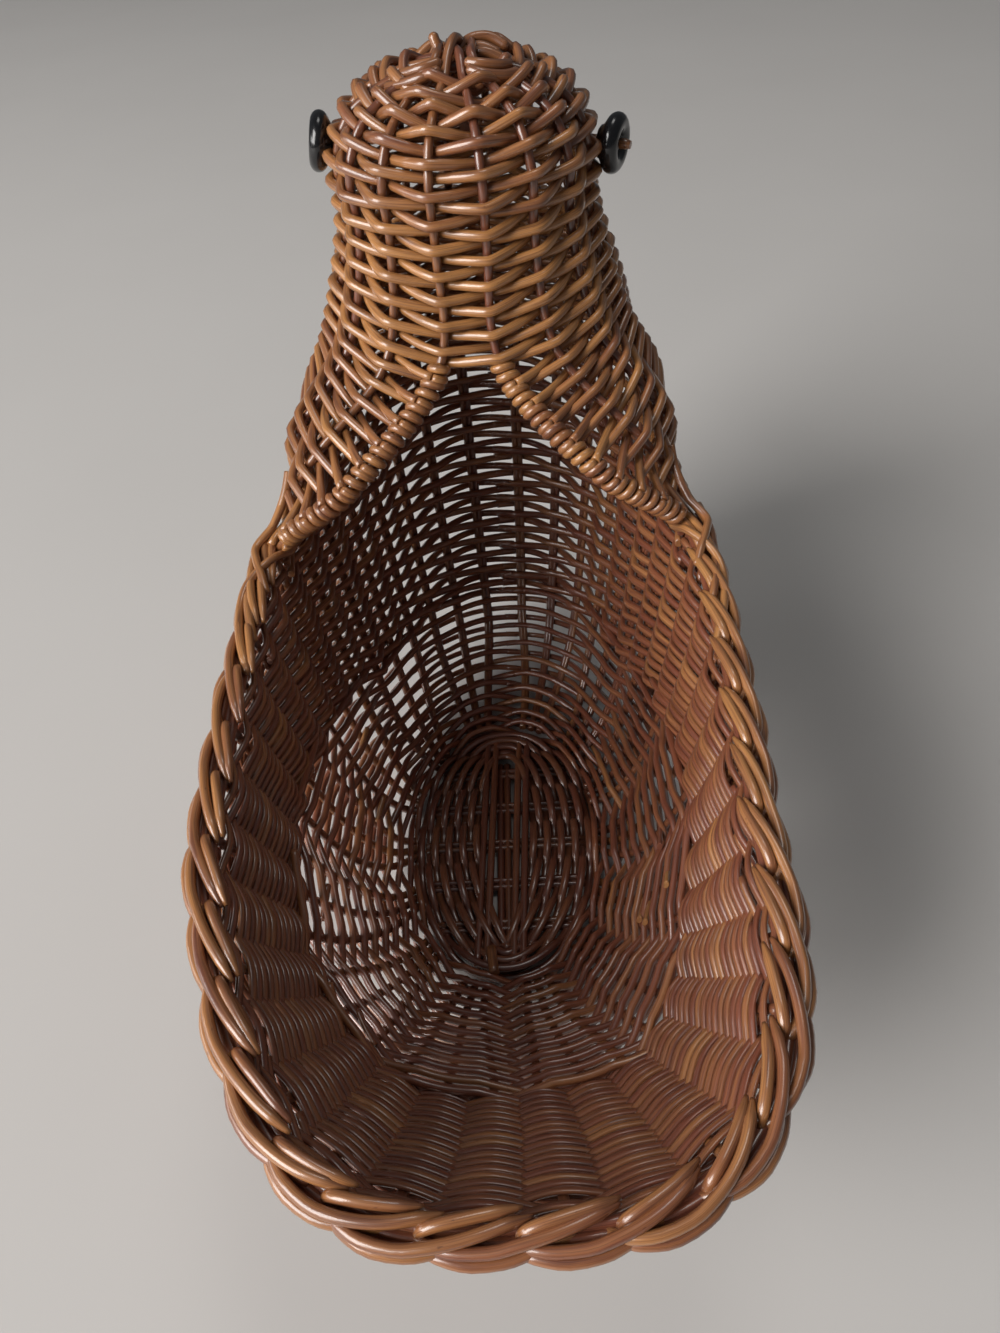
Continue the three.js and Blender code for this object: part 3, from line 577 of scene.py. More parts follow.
# Ends of rods at the crown, as points across, ahead and up from the middle of its top
CROWN_ENDS = [
    [(-3.5, 1, -3.5), (-4.6, 2.2, -0.5), (-5.4, 3.2, 1.6)],
    [(0.5, 3, -2.8), (3.5, 4.5, -0.7), (8.5, 5.5, -0.7), (13, 4, -3)],
    [(6, 7, -2.6), (10, 7.5, -1.5), (14.5, 5.5, -4)],
    [(1, 1.5, -3.4), (6, 2.2, -1.8), (11, 1, -3.6)],
    [(2, -0.5, -3.4), (7, -1.2, -2.2), (12, -2, -4)],
    [(3, -9, -2.2), (6.5, -10.5, -2.4), (11, -9, -3.4), (13.5, -5.5, -4.2)],
    [(3.5, -11.5, -3), (7, -13.2, -3.8), (12, -11.5, -5), (15.5, -7.5, -5.6)],
    [(-3, -8, -2), (-7, -9.5, -2.6), (-12, -7.5, -4), (-16, -3.5, -5.6)],
    [(-3, -10.8, -3), (-7.5, -12.2, -4), (-13, -10, -5.6), (-17, -6, -7)],
]


def stake_path(stake, side, levels, beside):
    """The way of one stake, or of a rod beside it, and the way its face looks out."""
    group_middle = GROUP * (stake // GROUP) + (GROUP - 1) / 2
    apart = np.interp(levels, [0, GROUP_END], [GROUP_SPREAD, 1])
    turn = group_middle + (stake - group_middle) * apart + 0.5 + beside
    turn = turn if side > 0 else 2 * SIDE_STAKES - turn
    return on_skin(turn, levels, SIDE_STAKES, 0, levels[-1] > RIM_LEVEL)


def crown_point(across, ahead, is_top):
    height = HEAD_TOP - STAKE / 2 - (0 if is_top else CROSS_SPACING)
    return np.array([across, HEAD_Y + BASE_MIDDLE_Y + ahead, height])


def smooth_path(points, step):
    """A rounded path through points, about one point to each step of its length."""
    points = np.asarray(points, float)
    padded = np.vstack([2 * points[0] - points[1], points, 2 * points[-1] - points[-2]])
    path = []
    for k in range(len(points) - 1):
        count = max(2, int(np.linalg.norm(points[k + 1] - points[k]) / step))
        share = np.arange(count)[:, None] / count
        path.append(smooth_between([padded[k + n] for n in range(4)], share))
    return np.vstack(path + [points[-1:]])


tail_stakes = []
wall_levels = np.linspace(STAKE_START, RIM_LEVEL, WALL_STAKE_POINTS)
for side in (1, -1):
    for stake in range(NECK_STAKES, SIDE_STAKES):
        points, out = stake_path(stake, side, wall_levels, 0)
        thickness = np.interp(wall_levels, FLATTENING_LEVELS, [STAKE_WIDTH, TAIL_STAKE_THICKNESS])
        tail_stakes.append(Strand(points, STAKE_WIDTH, chance.random(), out, thickness))
piece = strand_object("tail_stakes", tail_stakes, STAKE_REED)
settle(piece, "stake_reed", *[f"tail_rod_{k + 1}" for k in range(TAIL_STAKES)])

neck_stakes = []
neck_levels = np.concatenate([wall_levels, np.linspace(RIM_LEVEL, CROWN_LEVEL, NECK_STAKE_POINTS)[1:]])


def over_crown(first, bridge, second):
    """A rod that goes up one stake, over the crown and down another."""
    top = smooth_path([first[-1], *bridge, second[-1]], CROWN_STEP)
    return np.vstack([first[:-1], top, second[::-1][1:]])


SIDE_RODS = range(2, 6)
for k, stake in enumerate(SIDE_RODS):
    ahead = ((len(SIDE_RODS) - 1) / 2 - k) * CROSS_SPACING
    bridge = [crown_point(x, ahead, False) for x in (CROSS_HALF, 0, -CROSS_HALF)]
    legs = [stake_path(stake, side, neck_levels, 0)[0] for side in (1, -1)]
    neck_stakes.append(Strand(over_crown(legs[0], bridge, legs[1]), STAKE_WIDTH, chance.random()))
for side in (1, -1):
    for stake in (0, 1):
        across = side * (stake + 0.5) * CROSS_SPACING
        far_side = -side if stake == 0 else side
        lift = np.array([0, 0, (side + 1) * CROWN_LIFT])
        bridge = [
            crown_point(across, CROSS_HALF, True),
            crown_point(across if stake else 0, 0, True) + lift * (stake == 0),
            crown_point(far_side * abs(across), -CROSS_HALF, True),
        ]
        front_leg = stake_path(stake, side, neck_levels, 0)[0]
        back_leg = stake_path(EDGE_STAKE - stake, far_side, neck_levels, 0)[0]
        neck_stakes.append(Strand(over_crown(front_leg, bridge, back_leg), STAKE_WIDTH, chance.random()))
for side in (1, -1):
    for stake in range(EDGE_STAKE):
        points = stake_path(stake, side, wall_levels[BYE_STAKE_FIRST:], BYE_STAKE_TURN)[0]
        neck_stakes.append(Strand(points, BYE_STAKE, chance.random()))
for path in CROWN_ENDS:
    points = smooth_path(np.array(path) + [0, HEAD_Y + BASE_MIDDLE_Y, HEAD_TOP], CROWN_END_STEP)
    width = np.full(len(points), CROWN_END_WIDTH)
    width[[0, -1]] *= CROWN_END_TIP
    neck_stakes.append(Strand(points, width, chance.uniform(*CROWN_END_TONES)))
piece = strand_object("neck_stakes", neck_stakes, STAKE_REED)
settle(piece, "stake_reed", *[f"neck_rod_{k + 1}" for k in range(NECK_STAKES)])

# The wall
# Weavers going round outside one stake and inside the next, each row the other way from the row below. Low
# down they take the stakes in threes, highest up at the sides, and light shows through. The two kinds of
# rows overlap where they meet. The tail has more rows than the breast, flatter and closer.
# Three values are for the breast, the sides and the tail, which lie this far behind the middle
WALL_PLACES = (-BREAST_REACH * 0.45, 35, TAIL_REACH)
GROUPED_TOP = (0.4, 0.66, 0.52)
GROUPED_ROWS = (20, 21, 24)
GROUPED_WEAVER = 2.1
GROUPED_SWING = 2.5
GROUPED_FIRST = 0.6
GROUPED_OVERLAP = 1.2
GROUPED_SPARE_ROWS = 2
GROUPED_OPENING = (1.15, 1.2, 1.05)
GROUPED_BEND = 1.7
WALL_ROWS = (31, 30, 38)
WALL_SWING = (2.6, 2.3, 1.3)
WALL_THICKNESS = (2.3, 1.4, 1.2)
WALL_WEAVER = (2.5, 2.0, 2.3)
WALL_ROUNDNESS = (0, 0.7, 1)
WALL_FIRST_ROW = -1
LAST_PLACE = 0.985
RIM_ROWS = 3
RIM_ROW_PITCH = 1.9
STEPS_PER_STAKE = 8
COURSE_POINTS = 61
ROW_WANDER = 0.3
ROW_SIZE_SPREAD = 0.06
WALL_TONE = 0.55
WALL_TONE_POWER = 1.5
LOOSE_ENDS = 9
LOOSE_END_POINTS = 12
LOOSE_END_TURNS = 0.9
LOOSE_END_LEVELS = (0.3, 0.8)
LOOSE_END_RISE = 0.02
LOOSE_END_OFFSETS = (-1.2, -3.4)
LOOSE_END_WIDTH = 2.1
LOOSE_END_THICKNESS = 1.4


def wander(count, spacing):
    """A slow random change along a row, about -1 to 1."""
    marks = chance.normal(0, 0.5, count // spacing + 3)
    return np.interp(np.arange(count) / spacing, np.arange(len(marks)), marks)


def kinked(phase):
    """1 where a weaver bends sharply round the outside of a stake, -1 inside, and straight between."""
    bend = 0.98
    return np.arcsin(bend * np.cos(np.pi * phase)) / math.asin(bend)


class Course:
    """A band of weaving between two levels, measured along the stakes at each of its turns."""

    def __init__(self, turn, stakes_per_side, low, high):
        wrapped = np.mod(turn, 2 * stakes_per_side)
        self.stake = np.where(wrapped <= stakes_per_side, wrapped, 2 * stakes_per_side - wrapped) - 0.5
        low, high = (np.broadcast_to(level, turn.shape)[:, None] for level in (low, high))
        self.grid = low + (high - low) * np.linspace(0, 1, COURSE_POINTS)
        points = skin(self.stake[:, None], self.grid)
        steps = np.linalg.norm(np.diff(points, axis=1), axis=2)
        self.along = np.concatenate([np.zeros((len(turn), 1)), np.cumsum(steps, axis=1)], 1)
        self.length = self.along[:, -1]

    def levels(self, share):
        wanted = np.clip(share, 0, 1) * self.length
        return np.array([np.interp(w, a, g) for w, a, g in zip(wanted, self.along, self.grid)])


wall_turns = np.arange(0, 2 * SIDE_STAKES * STEPS_PER_STAKE + STEPS_PER_STAKE // 2) / STEPS_PER_STAKE
wall_course = Course(wall_turns, SIDE_STAKES, 0, RIM_LEVEL)
behind = -wall(wall_course.stake, np.ones_like(wall_turns))[:, 1]


def by_place(values):
    """A value for the breast, the side and the tail, at every turn."""
    return np.interp(behind, WALL_PLACES, values)


def wall_row(has_row, place, wave, width, thickness):
    """The lengths of a row of the wall. A row runs out where there is no place left for it."""
    place = place + ROW_WANDER * wander(len(wall_turns), 2 * STEPS_PER_STAKE) / wall_course.length
    points, out = on_skin(wall_turns, wall_course.levels(place), SIDE_STAKES, wave, False)
    size = 1 + ROW_SIZE_SPREAD * chance.normal()
    kept = np.flatnonzero(has_row)
    lengths = []
    for k in np.split(kept, np.flatnonzero(np.diff(kept) > 1) + 1):
        if len(k) > STEPS_PER_STAKE:
            tone = chance.random() ** WALL_TONE_POWER * WALL_TONE
            lengths.append(Strand(points[k], width[k] * size, tone, out[k], thickness[k] * size))
    return lengths


grouped_top = by_place(GROUPED_TOP)
lower_strands = []
for row in range(max(GROUPED_ROWS) + GROUPED_SPARE_ROWS):
    share = (row + GROUPED_FIRST) / by_place(GROUPED_ROWS)
    highest = 1 + GROUPED_OVERLAP / by_place(GROUPED_ROWS)
    wave = GROUPED_SWING * np.clip(GROUPED_BEND * kinked((wall_turns - GROUP / 2) / GROUP + row), -1, 1)
    width = np.full(len(wall_turns), GROUPED_WEAVER)
    place = grouped_top * share ** by_place(GROUPED_OPENING)
    lower_strands += wall_row(share < highest, place, wave, width, width)
piece = strand_object("lower_wall_weave", lower_strands, WEAVER_REED)
settle(piece, "weaver_reed", "lower_wall_weave_outer", "lower_wall_weave_inner")

row_roundness = by_place(WALL_ROUNDNESS)
row_sizes = by_place(WALL_WEAVER), by_place(WALL_THICKNESS)
under_border = (wall_turns > NECK_STAKES - 0.5) & (wall_turns < 2 * SIDE_STAKES - NECK_STAKES + 0.5)
rim_row_step = RIM_ROW_PITCH / wall_course.length
last_place = np.where(under_border, LAST_PLACE - RIM_ROWS * rim_row_step, 1)
upper_strands = []


def upper_wave(row):
    phase = wall_turns - 0.5 + row
    return by_place(WALL_SWING) * (kinked(phase) * (1 - row_roundness) + scallop(phase, 1) * row_roundness)


for row in range(WALL_FIRST_ROW, max(WALL_ROWS)):
    share = (row + 0.5) / by_place(WALL_ROWS)
    place = grouped_top + (1 - grouped_top) * share
    upper_strands += wall_row((share < 1) & (place < last_place), place, upper_wave(row), *row_sizes)
for row in range(RIM_ROWS):
    place = LAST_PLACE - row * rim_row_step
    upper_strands += wall_row(under_border, place, upper_wave(row), *row_sizes)
for k in range(LOOSE_ENDS):
    first_turn = chance.uniform(NECK_STAKES, 2 * SIDE_STAKES - NECK_STAKES)
    turn = first_turn + np.linspace(0, LOOSE_END_TURNS, LOOSE_END_POINTS)
    level = chance.uniform(*LOOSE_END_LEVELS) + np.linspace(0, LOOSE_END_RISE, LOOSE_END_POINTS)
    offset = np.linspace(*LOOSE_END_OFFSETS, LOOSE_END_POINTS)
    points, out = on_skin(turn, level, SIDE_STAKES, offset, False)
    upper_strands.append(Strand(points, LOOSE_END_WIDTH, chance.random(), out, LOOSE_END_THICKNESS))
piece = strand_object("upper_wall_weave", upper_strands, WEAVER_REED)
settle(piece, "weaver_reed", "upper_wall_weave_outer", "upper_wall_weave_inner")

# The shoulder and the edges of the arch
# Round weavers go to and fro here instead of round. At each edge of the arch a weaver binds the last stake
# with a few turns and goes back, so from a little above the rim the edge is a tight coil, and the rows slant
# down to it.
SHOULDER_ROWS = 20
SHOULDER_LIFT = 0.25
SHOULDER_RAMP = 3
NECK_DIP = 0.4
SHOULDER_FILL_ROWS = 6
FLAP_WEAVER = 2.5
BIND_PITCH = 2.9
BIND_STRAND = 2.5
BIND_RADIUS = 2.15
BIND_START = 0.1
BIND_LEAD = 0.02
BIND_TURN_POINTS = 14
BIND_FEWEST_POINTS = 4
BIND_INWARD = 0.3
ROUND_ROW_WANDER = 0.25
SHOULDER_TONES = (0.45, 1)
FILL_CLEARANCE = 0.02
FILL_TONES = (0.3, 0.8)
EDGE_TURN = NECK_STAKES - 0.5
SWING = (STAKE_WIDTH + WEAVER) / 2
shoulder_turns = np.linspace(-EDGE_TURN, EDGE_TURN, int(2 * EDGE_TURN * STEPS_PER_STAKE) + 1)


def away_from_edge(turn):
    return np.clip((EDGE_TURN - np.abs(turn)) / SHOULDER_RAMP, 0, 1)


shoulder_top = ARCH_LEVEL + NECK_DIP * away_from_edge(shoulder_turns)
shoulder_course = Course(np.mod(shoulder_turns, 2 * SIDE_STAKES), SIDE_STAKES, RIM_LEVEL, shoulder_top)
edge_length = shoulder_course.length[-1]
bind_share = 2 / SHOULDER_ROWS
BIND_TURNS = bind_share * edge_length / BIND_PITCH


def shoulder_share(row, turn):
    """Where a row lies. Rows are higher away from the edges, so they come down to meet them squarely."""
    lowest = SHOULDER_LIFT * away_from_edge(turn)
    return lowest + (1 - lowest) * (row + 0.5) / SHOULDER_ROWS


def edge_share(row, side):
    """Where a row meets an edge: early where it comes in outside the stake, late where it leaves again."""
    comes_in = (row % 2 == 0) == (side > 0)
    start = shoulder_share(row if comes_in else row - 1, EDGE_TURN) - BIND_LEAD
    return start if comes_in else start + bind_share


def shoulder_points(turn, level, offset):
    return on_skin(np.mod(turn, 2 * SIDE_STAKES), level, SIDE_STAKES, offset, True)


shoulder_strands = []
bind_strands = []
for row in range(SHOULDER_ROWS):
    share = shoulder_share(row, shoulder_turns)
    for side in (1, -1):
        near_edge = np.clip(side * shoulder_turns - (EDGE_TURN - 1), 0, 1)
        share = share + (edge_share(row, side) - shoulder_share(row, EDGE_TURN)) * near_edge
    share = share + ROUND_ROW_WANDER * wander(len(share), 2 * STEPS_PER_STAKE) / shoulder_course.length
    offset = SWING * kinked(shoulder_turns - EDGE_TURN + row)
    points, out = shoulder_points(shoulder_turns, shoulder_course.levels(share), offset)
    tone = chance.uniform(*SHOULDER_TONES)
    shoulder_strands.append(Strand(points, FLAP_WEAVER, tone, out))
    side = 1 if row % 2 == 0 else -1
    turn = np.linspace(0, 2 * np.pi * BIND_TURNS, int(BIND_TURNS * BIND_TURN_POINTS) + 1)
    along = edge_share(row, side) + bind_share * turn / turn[-1]
    climbed = np.clip(along, 0, 1) * edge_length
    level = np.interp(climbed, shoulder_course.along[-1], shoulder_course.grid[-1])
    edge = np.full(len(turn), side * EDGE_TURN)
    middle, out = shoulder_points(edge, level, 0)
    ahead = unit(np.gradient(middle, axis=0))
    beyond = unit(np.cross(out, ahead))
    inward = shoulder_points(edge - side * BIND_INWARD, level, 0)[0] - middle
    beyond = beyond * np.where(np.sum(beyond * inward, 1, keepdims=True) > 0, -1, 1)
    points = middle + BIND_RADIUS * (out * np.cos(turn)[:, None] + beyond * np.sin(turn)[:, None])
    bound = along > BIND_START
    if bound.sum() >= BIND_FEWEST_POINTS:
        bind_strands.append(Strand(points[bound], BIND_STRAND, tone))
for row in range(SHOULDER_FILL_ROWS):
    share = SHOULDER_LIFT * (row + 0.5) / SHOULDER_FILL_ROWS
    kept = shoulder_share(0, shoulder_turns) > share + FILL_CLEARANCE
    level = shoulder_course.levels(np.full(len(shoulder_turns), share))
    offset = SWING * kinked(shoulder_turns - EDGE_TURN + row + 1)
    points, out = shoulder_points(shoulder_turns, level, offset)
    shoulder_strands.append(Strand(points[kept], WEAVER, chance.uniform(*FILL_TONES), out[kept]))
piece = strand_object("shoulder_weave", shoulder_strands, WEAVER_REED)
settle(piece, "weaver_reed", "shoulder_weave_outer", "shoulder_weave_inner")
piece = strand_object("arch_edge_binding", bind_strands, WEAVER_REED)
settle(piece, "weaver_reed", "arch_edge_right", "arch_edge_left")

# The neck and the head
# Round weavers going all the way round again, open enough to show the stakes between them, up to the crown,
# where the stakes are too close together to be woven singly.
NECK_ROW_PITCH = 2.8
NECK_WEAVER = 2.65
NECK_SIZE_SPREAD = 0.05
NECK_FIRST = 0.35
NECK_TONE_SHARES = (0.3, 0.75)
NECK_TONES = (0.75, 0.25)
NECK_TONE_SPREAD = 0.4
THROAT_SHARE = 0.37
CROWN_PAIRED_ROWS = 3
neck_steps = 2 * STEPS_PER_STAKE
neck_turns = np.arange(0, 2 * NECK_STAKES * neck_steps + STEPS_PER_STAKE) / neck_steps
round_back = NECK_STAKES - np.abs(np.mod(neck_turns, 2 * NECK_STAKES) - NECK_STAKES)
neck_bottom = ARCH_LEVEL + NECK_DIP * away_from_edge(round_back)
neck_course = Course(neck_turns, NECK_STAKES, neck_bottom, CROWN_LEVEL)
NECK_ROWS = int(neck_course.length.mean() / NECK_ROW_PITCH)
neck_strands = []
for row in range(NECK_ROWS):
    share = (row + NECK_FIRST) / NECK_ROWS
    share = share + ROUND_ROW_WANDER * wander(len(neck_turns), 2 * neck_steps) / neck_course.length
    paired = row >= NECK_ROWS - CROWN_PAIRED_ROWS
    phase = (neck_turns - 1) / 2 + row if paired else neck_turns - 0.5 + row + 1
    points, out = on_skin(neck_turns, neck_course.levels(share), NECK_STAKES, SWING * kinked(phase), True)
    width = NECK_WEAVER * (1 + NECK_SIZE_SPREAD * chance.normal())
    tone = np.interp(row / NECK_ROWS, NECK_TONE_SHARES, NECK_TONES) + NECK_TONE_SPREAD * chance.random()
    neck_strands.append(Strand(points, width, tone, out))
throat_row = int(NECK_ROWS * THROAT_SHARE)
piece = strand_object("neck_weave", neck_strands[:throat_row], WEAVER_REED)
settle(piece, "weaver_reed", "neck_weave_outer", "neck_weave_inner")
piece = strand_object("head_weave", neck_strands[throat_row:], WEAVER_REED)
settle(piece, "weaver_reed", "head_weave_outer", "head_weave_inner")

# The border of the tail
# The ends of the stakes, bent over and plaited along the rim round a core. At each stake one strand comes
# up, turns along the top and ends in a cut tip on the inner edge, and two more first bow round the outside.
# At each end of the rim three strands climb onto the foot of the flap.
BORDER_UNITS = 2 * TAIL_STAKES
BORDER_STRAND = 2.35
BORDER_SIDES = 10
BORDER_SEAT = 2.4
BORDER_SEAT_STEP = 0.03
BORDER_STEP = 0.3
BORDER_WANDER = 0.06
BORDER_SHIFT = 0.15
BORDER_FEWEST_POINTS = 9
BORDER_TONES = (0.45, 1)
BORDER_TAIL_DARKENING = 0.45
BORDER_FIRST = NECK_STAKES - 0.8
BORDER_LAST = 2 * SIDE_STAKES - NECK_STAKES + 0.8
UNIT_TURNS = (BORDER_LAST - BORDER_FIRST) / BORDER_UNITS
# The way of each strand: units along the rim, then millimetres outwards and upwards
TIP_WAY = [
    (-0.02, 0.5, -2.4),
    (-0.01, 0.4, -0.4),
    (0.07, 0.1, 1.5),
    (0.24, -0.6, 2.3),
    (0.55, -1.8, 2.2),
    (0.85, -2.8, 1.6),
    (1.06, -3.5, 0.7),
]
LOOP_WAY = [
    (-1.1, 0.5, -2.2),
    (-1.0, 1.7, -0.9),
    (-0.85, 2.8, 0.1),
    (-0.6, 3.6, 0.6),
    (-0.3, 3.6, 1.0),
    (0.0, 2.8, 1.7),
    (0.3, 1.7, 2.1),
    (0.6, 0.3, 2.2),
    (0.85, -1.1, 1.8),
    (1.1, -2.4, 0.8),
]
OUTER_WAY = [
    (-1.12, 0.8, -2.8),
    (-1.0, 2.2, -1.7),
    (-0.8, 3.9, -0.9),
    (-0.5, 4.8, -0.9),
    (-0.2, 4.4, -0.9),
    (0.05, 3.3, -0.8),
    (0.3, 1.8, -0.9),
    (0.55, 0.6, -1.6),
]
CORE_WAYS = ((-0.6, -1.3), (1.2, -1.6), (2.9, -1.8))
CORE_POINTS = 200
CORE_TONE = 0.1
# Strands that climb a flap, first there and then on the rim: stakes past the arch's edge, and then level and
# millimetres out of the skin on the flap, or millimetres outwards and upwards on the rim
CLIMB_WAYS = (
    (
        [(-0.9, 1.45, 2.6), (-0.3, 1.2, 3.6)],
        [(0.15, 3.6, 3.2), (0.5, 2.0, 3.6), (0.85, -0.4, 3.2), (1.2, -2.6, 1.6)],
    ),
    (
        [(-0.45, 1.25, -3.2), (-0.15, 1.08, -3.6)],
        [
            (0.35, -2.6, 2.8),
            (0.7, 0.5, 3.2),
            (1.05, 3.2, 2.2),
            (1.5, 3.8, 1.0),
            (2.2, 1.6, 2.0),
            (3.0, -2.2, 0.8),
        ],
    ),
    (
        [(-1.3, 1.7, 2.4), (-0.4, 1.2, 3.4)],
        [(0.15, 3.8, 1.8), (0.7, 3.6, 1.0), (1.3, 2.2, 1.6), (1.8, 0.2, 2.2), (2.3, -2.2, 0.8)],
    ),
)
CLIMB_FLAP_STEP = 0.1
CLIMB_STEP = 0.6
CLIMB_TIP = 0.5
CLIMB_TONES = (0.5, 0.9)
TIP_TAPER = 0.25
CUT_TIP = 0.4
BLUNT_TIP = 1


def border_points(turn, outwards, upwards):
    level = np.full(len(turn), float(RIM_LEVEL))
    middle, out = on_skin(turn, level, SIDE_STAKES, 0, False)
    below = on_skin(turn, level - BORDER_SEAT_STEP, SIDE_STAKES, 0, False)[0]
    flat_out = unit(out * [1, 1, 0])
    seat = middle + unit(middle - below) * BORDER_SEAT
    return seat + flat_out * outwards[:, None] + np.array([0, 0, 1]) * upwards[:, None]


border_strands = []
for knots, tip in ((TIP_WAY, CUT_TIP), (LOOP_WAY, CUT_TIP), (OUTER_WAY, BLUNT_TIP)):
    way = smooth_path(knots, BORDER_STEP)
    end = knots[-1][0]
    for k in np.arange(-1, BORDER_UNITS + 2):
        turn = BORDER_LAST - (k + BORDER_WANDER * chance.normal() + way[:, 0]) * UNIT_TURNS
        inside = (turn > BORDER_FIRST) & (turn < BORDER_LAST)
        shift = BORDER_SHIFT * chance.normal(size=2)
        if inside.sum() >= BORDER_FEWEST_POINTS:
            points = border_points(turn[inside], way[inside, 1] + shift[0], way[inside, 2] + shift[1])
            width = BORDER_STRAND * np.interp(way[inside, 0], [end - TIP_TAPER, end], [1, tip])
            tail_end = max(1 - abs(turn.mean() - SIDE_STAKES) / TAIL_STAKES, 0)
            tone = chance.uniform(*BORDER_TONES) * (1 - BORDER_TAIL_DARKENING * tail_end)
            border_strands.append(Strand(points, width, tone))
core_turns = np.linspace(BORDER_FIRST, BORDER_LAST, CORE_POINTS)
for outwards, upwards in CORE_WAYS:
    points = border_points(core_turns, np.full(CORE_POINTS, outwards), np.full(CORE_POINTS, upwards))
    border_strands.append(Strand(points, BORDER_STRAND, CORE_TONE))
for side in (1, -1):
    for on_flap, on_rim in CLIMB_WAYS:
        past, level, offset = smooth_path(on_flap, CLIMB_FLAP_STEP).T
        flap_points = shoulder_points(side * (EDGE_TURN + past), level, offset)[0]
        past, outwards, upwards = np.array(on_rim, float).T
        rim_points = border_points(side * (EDGE_TURN + past), outwards, upwards)
        points = smooth_path(np.vstack([flap_points, rim_points]), CLIMB_STEP)
        width = np.full(len(points), BORDER_STRAND)
        width[-1] *= CLIMB_TIP
        border_strands.append(Strand(points, width, chance.uniform(*CLIMB_TONES)))
piece = strand_object("tail_border_plait", border_strands, WEAVER_REED, BORDER_SIDES)
settle(piece, "weaver_reed", "tail_border")

# The eyes
# Glossy black moulded buttons with a thick rounded rim and a hub against the head, each held on by the end
# of a reed peg pushed through its middle. They don't sit quite level, and the right one looks backwards.
EYE = 14.6
EYE_RIM = 5
EYE_DEPTH = 6.6
EYE_HUB = 8
EYE_HUB_DEPTH = 0.4
EYE_FACE_DEPTH = 5.4
EYE_CENTRE = 0.4
EYE_BEVEL = 0.3
EYE_RIM_BACK = (0.6, 0.5)
EYE_RIM_DEGREES = range(-60, 171, 10)
EYE_RIM_SQUASH = 0.93
EYE_FACE_EDGE = 0.2
EYE_FACE_RING = 1.2
EYE_FACE_SWELL = 0.1
EYE_SHIFT = BOW[-1]
PEG = 2.6
PEG_PROUD = 1.0
PEG_DEPTH = 7
PEG_POINTS = 12
PEG_SIDES = 12
PEG_TIP = 0.72
PEG_TONE = 0.9
EYE_LIFTS = {"right": -2.5, "left": 2.1}
EYE_SEATS = {"right": HEAD / 2 - 1.0, "left": HEAD / 2 - 3.4}
EYE_TILTS = {"right": math.radians(-25), "left": math.radians(3)}
EYE_LEANS = {"right": math.radians(4), "left": math.radians(11)}


def black_plastic():
    material, tree, shader, maker = new_material("eye_plastic")
    place = maker.make("ShaderNodeTexCoord", {}, {}, 3)
    grain = maker.make("ShaderNodeTexNoise", {}, {"Vector": place, "Scale": 900.0, "Detail": 3.0})
    dust = maker.make("ShaderNodeTexNoise", {}, {"Vector": place, "Scale": 260.0, "Detail": 4.0})
    colour = (dust.between(0.5, 0.8) * 0.5).mix((0.006, 0.006, 0.007, 1), (0.028, 0.027, 0.027, 1))
    tree.links.new(colour.socket, shader.inputs["Base Color"])
    rough = 0.16 + grain * 0.14
    tree.links.new(rough.socket, shader.inputs["Roughness"])
    shader.inputs["Coat Weight"].default_value = 0.3
    return material


def spun(name, profile, material, turns=48):
    """A turned shape from radius and height pairs, standing along +X."""
    angle = np.arange(turns) * 2 * np.pi / turns
    vertices = [(h, r * math.cos(a), r * math.sin(a)) for r, h in profile for a in angle]
    faces = []
    for k in range(len(profile) - 1):
        for i in range(turns):
            j = (i + 1) % turns
            faces.append((k * turns + i, k * turns + j, (k + 1) * turns + j, (k + 1) * turns + i))
    faces.append(tuple(range(turns))[::-1])
    faces.append(tuple(range((len(profile) - 1) * turns, len(profile) * turns)))
    mesh = bpy.data.meshes.new(name)
    mesh.from_pydata(vertices, [], faces)
    mesh.polygons.foreach_set("use_smooth", [True] * len(faces))
    mesh.materials.append(material)
    mesh.update()
    piece = bpy.data.objects.new(name, mesh)
    bpy.context.scene.collection.objects.link(piece)
    return piece


def eye_profile():
    rim = EYE_RIM / 2
    middle = EYE / 2 - rim
    centre = EYE_DEPTH - rim
    marks = [
        (EYE_CENTRE, 0.0),
        (EYE_HUB / 2 - EYE_BEVEL, 0.0),
        (EYE_HUB / 2, EYE_BEVEL),
        (EYE_HUB / 2, EYE_HUB_DEPTH),
        (middle - EYE_RIM_BACK[0], EYE_HUB_DEPTH + EYE_RIM_BACK[1]),
    ]
    for degrees in EYE_RIM_DEGREES:
        a = math.radians(degrees)
        marks.append((middle + rim * math.cos(a), centre + rim * math.sin(a) * EYE_RIM_SQUASH))
    marks += [
        (middle - rim - EYE_FACE_EDGE, EYE_FACE_DEPTH),
        (PEG / 2 + EYE_FACE_RING, EYE_FACE_DEPTH),
        (EYE_CENTRE, EYE_FACE_DEPTH + EYE_FACE_SWELL),
    ]
    return [(r * MM, h * MM) for r, h in marks]


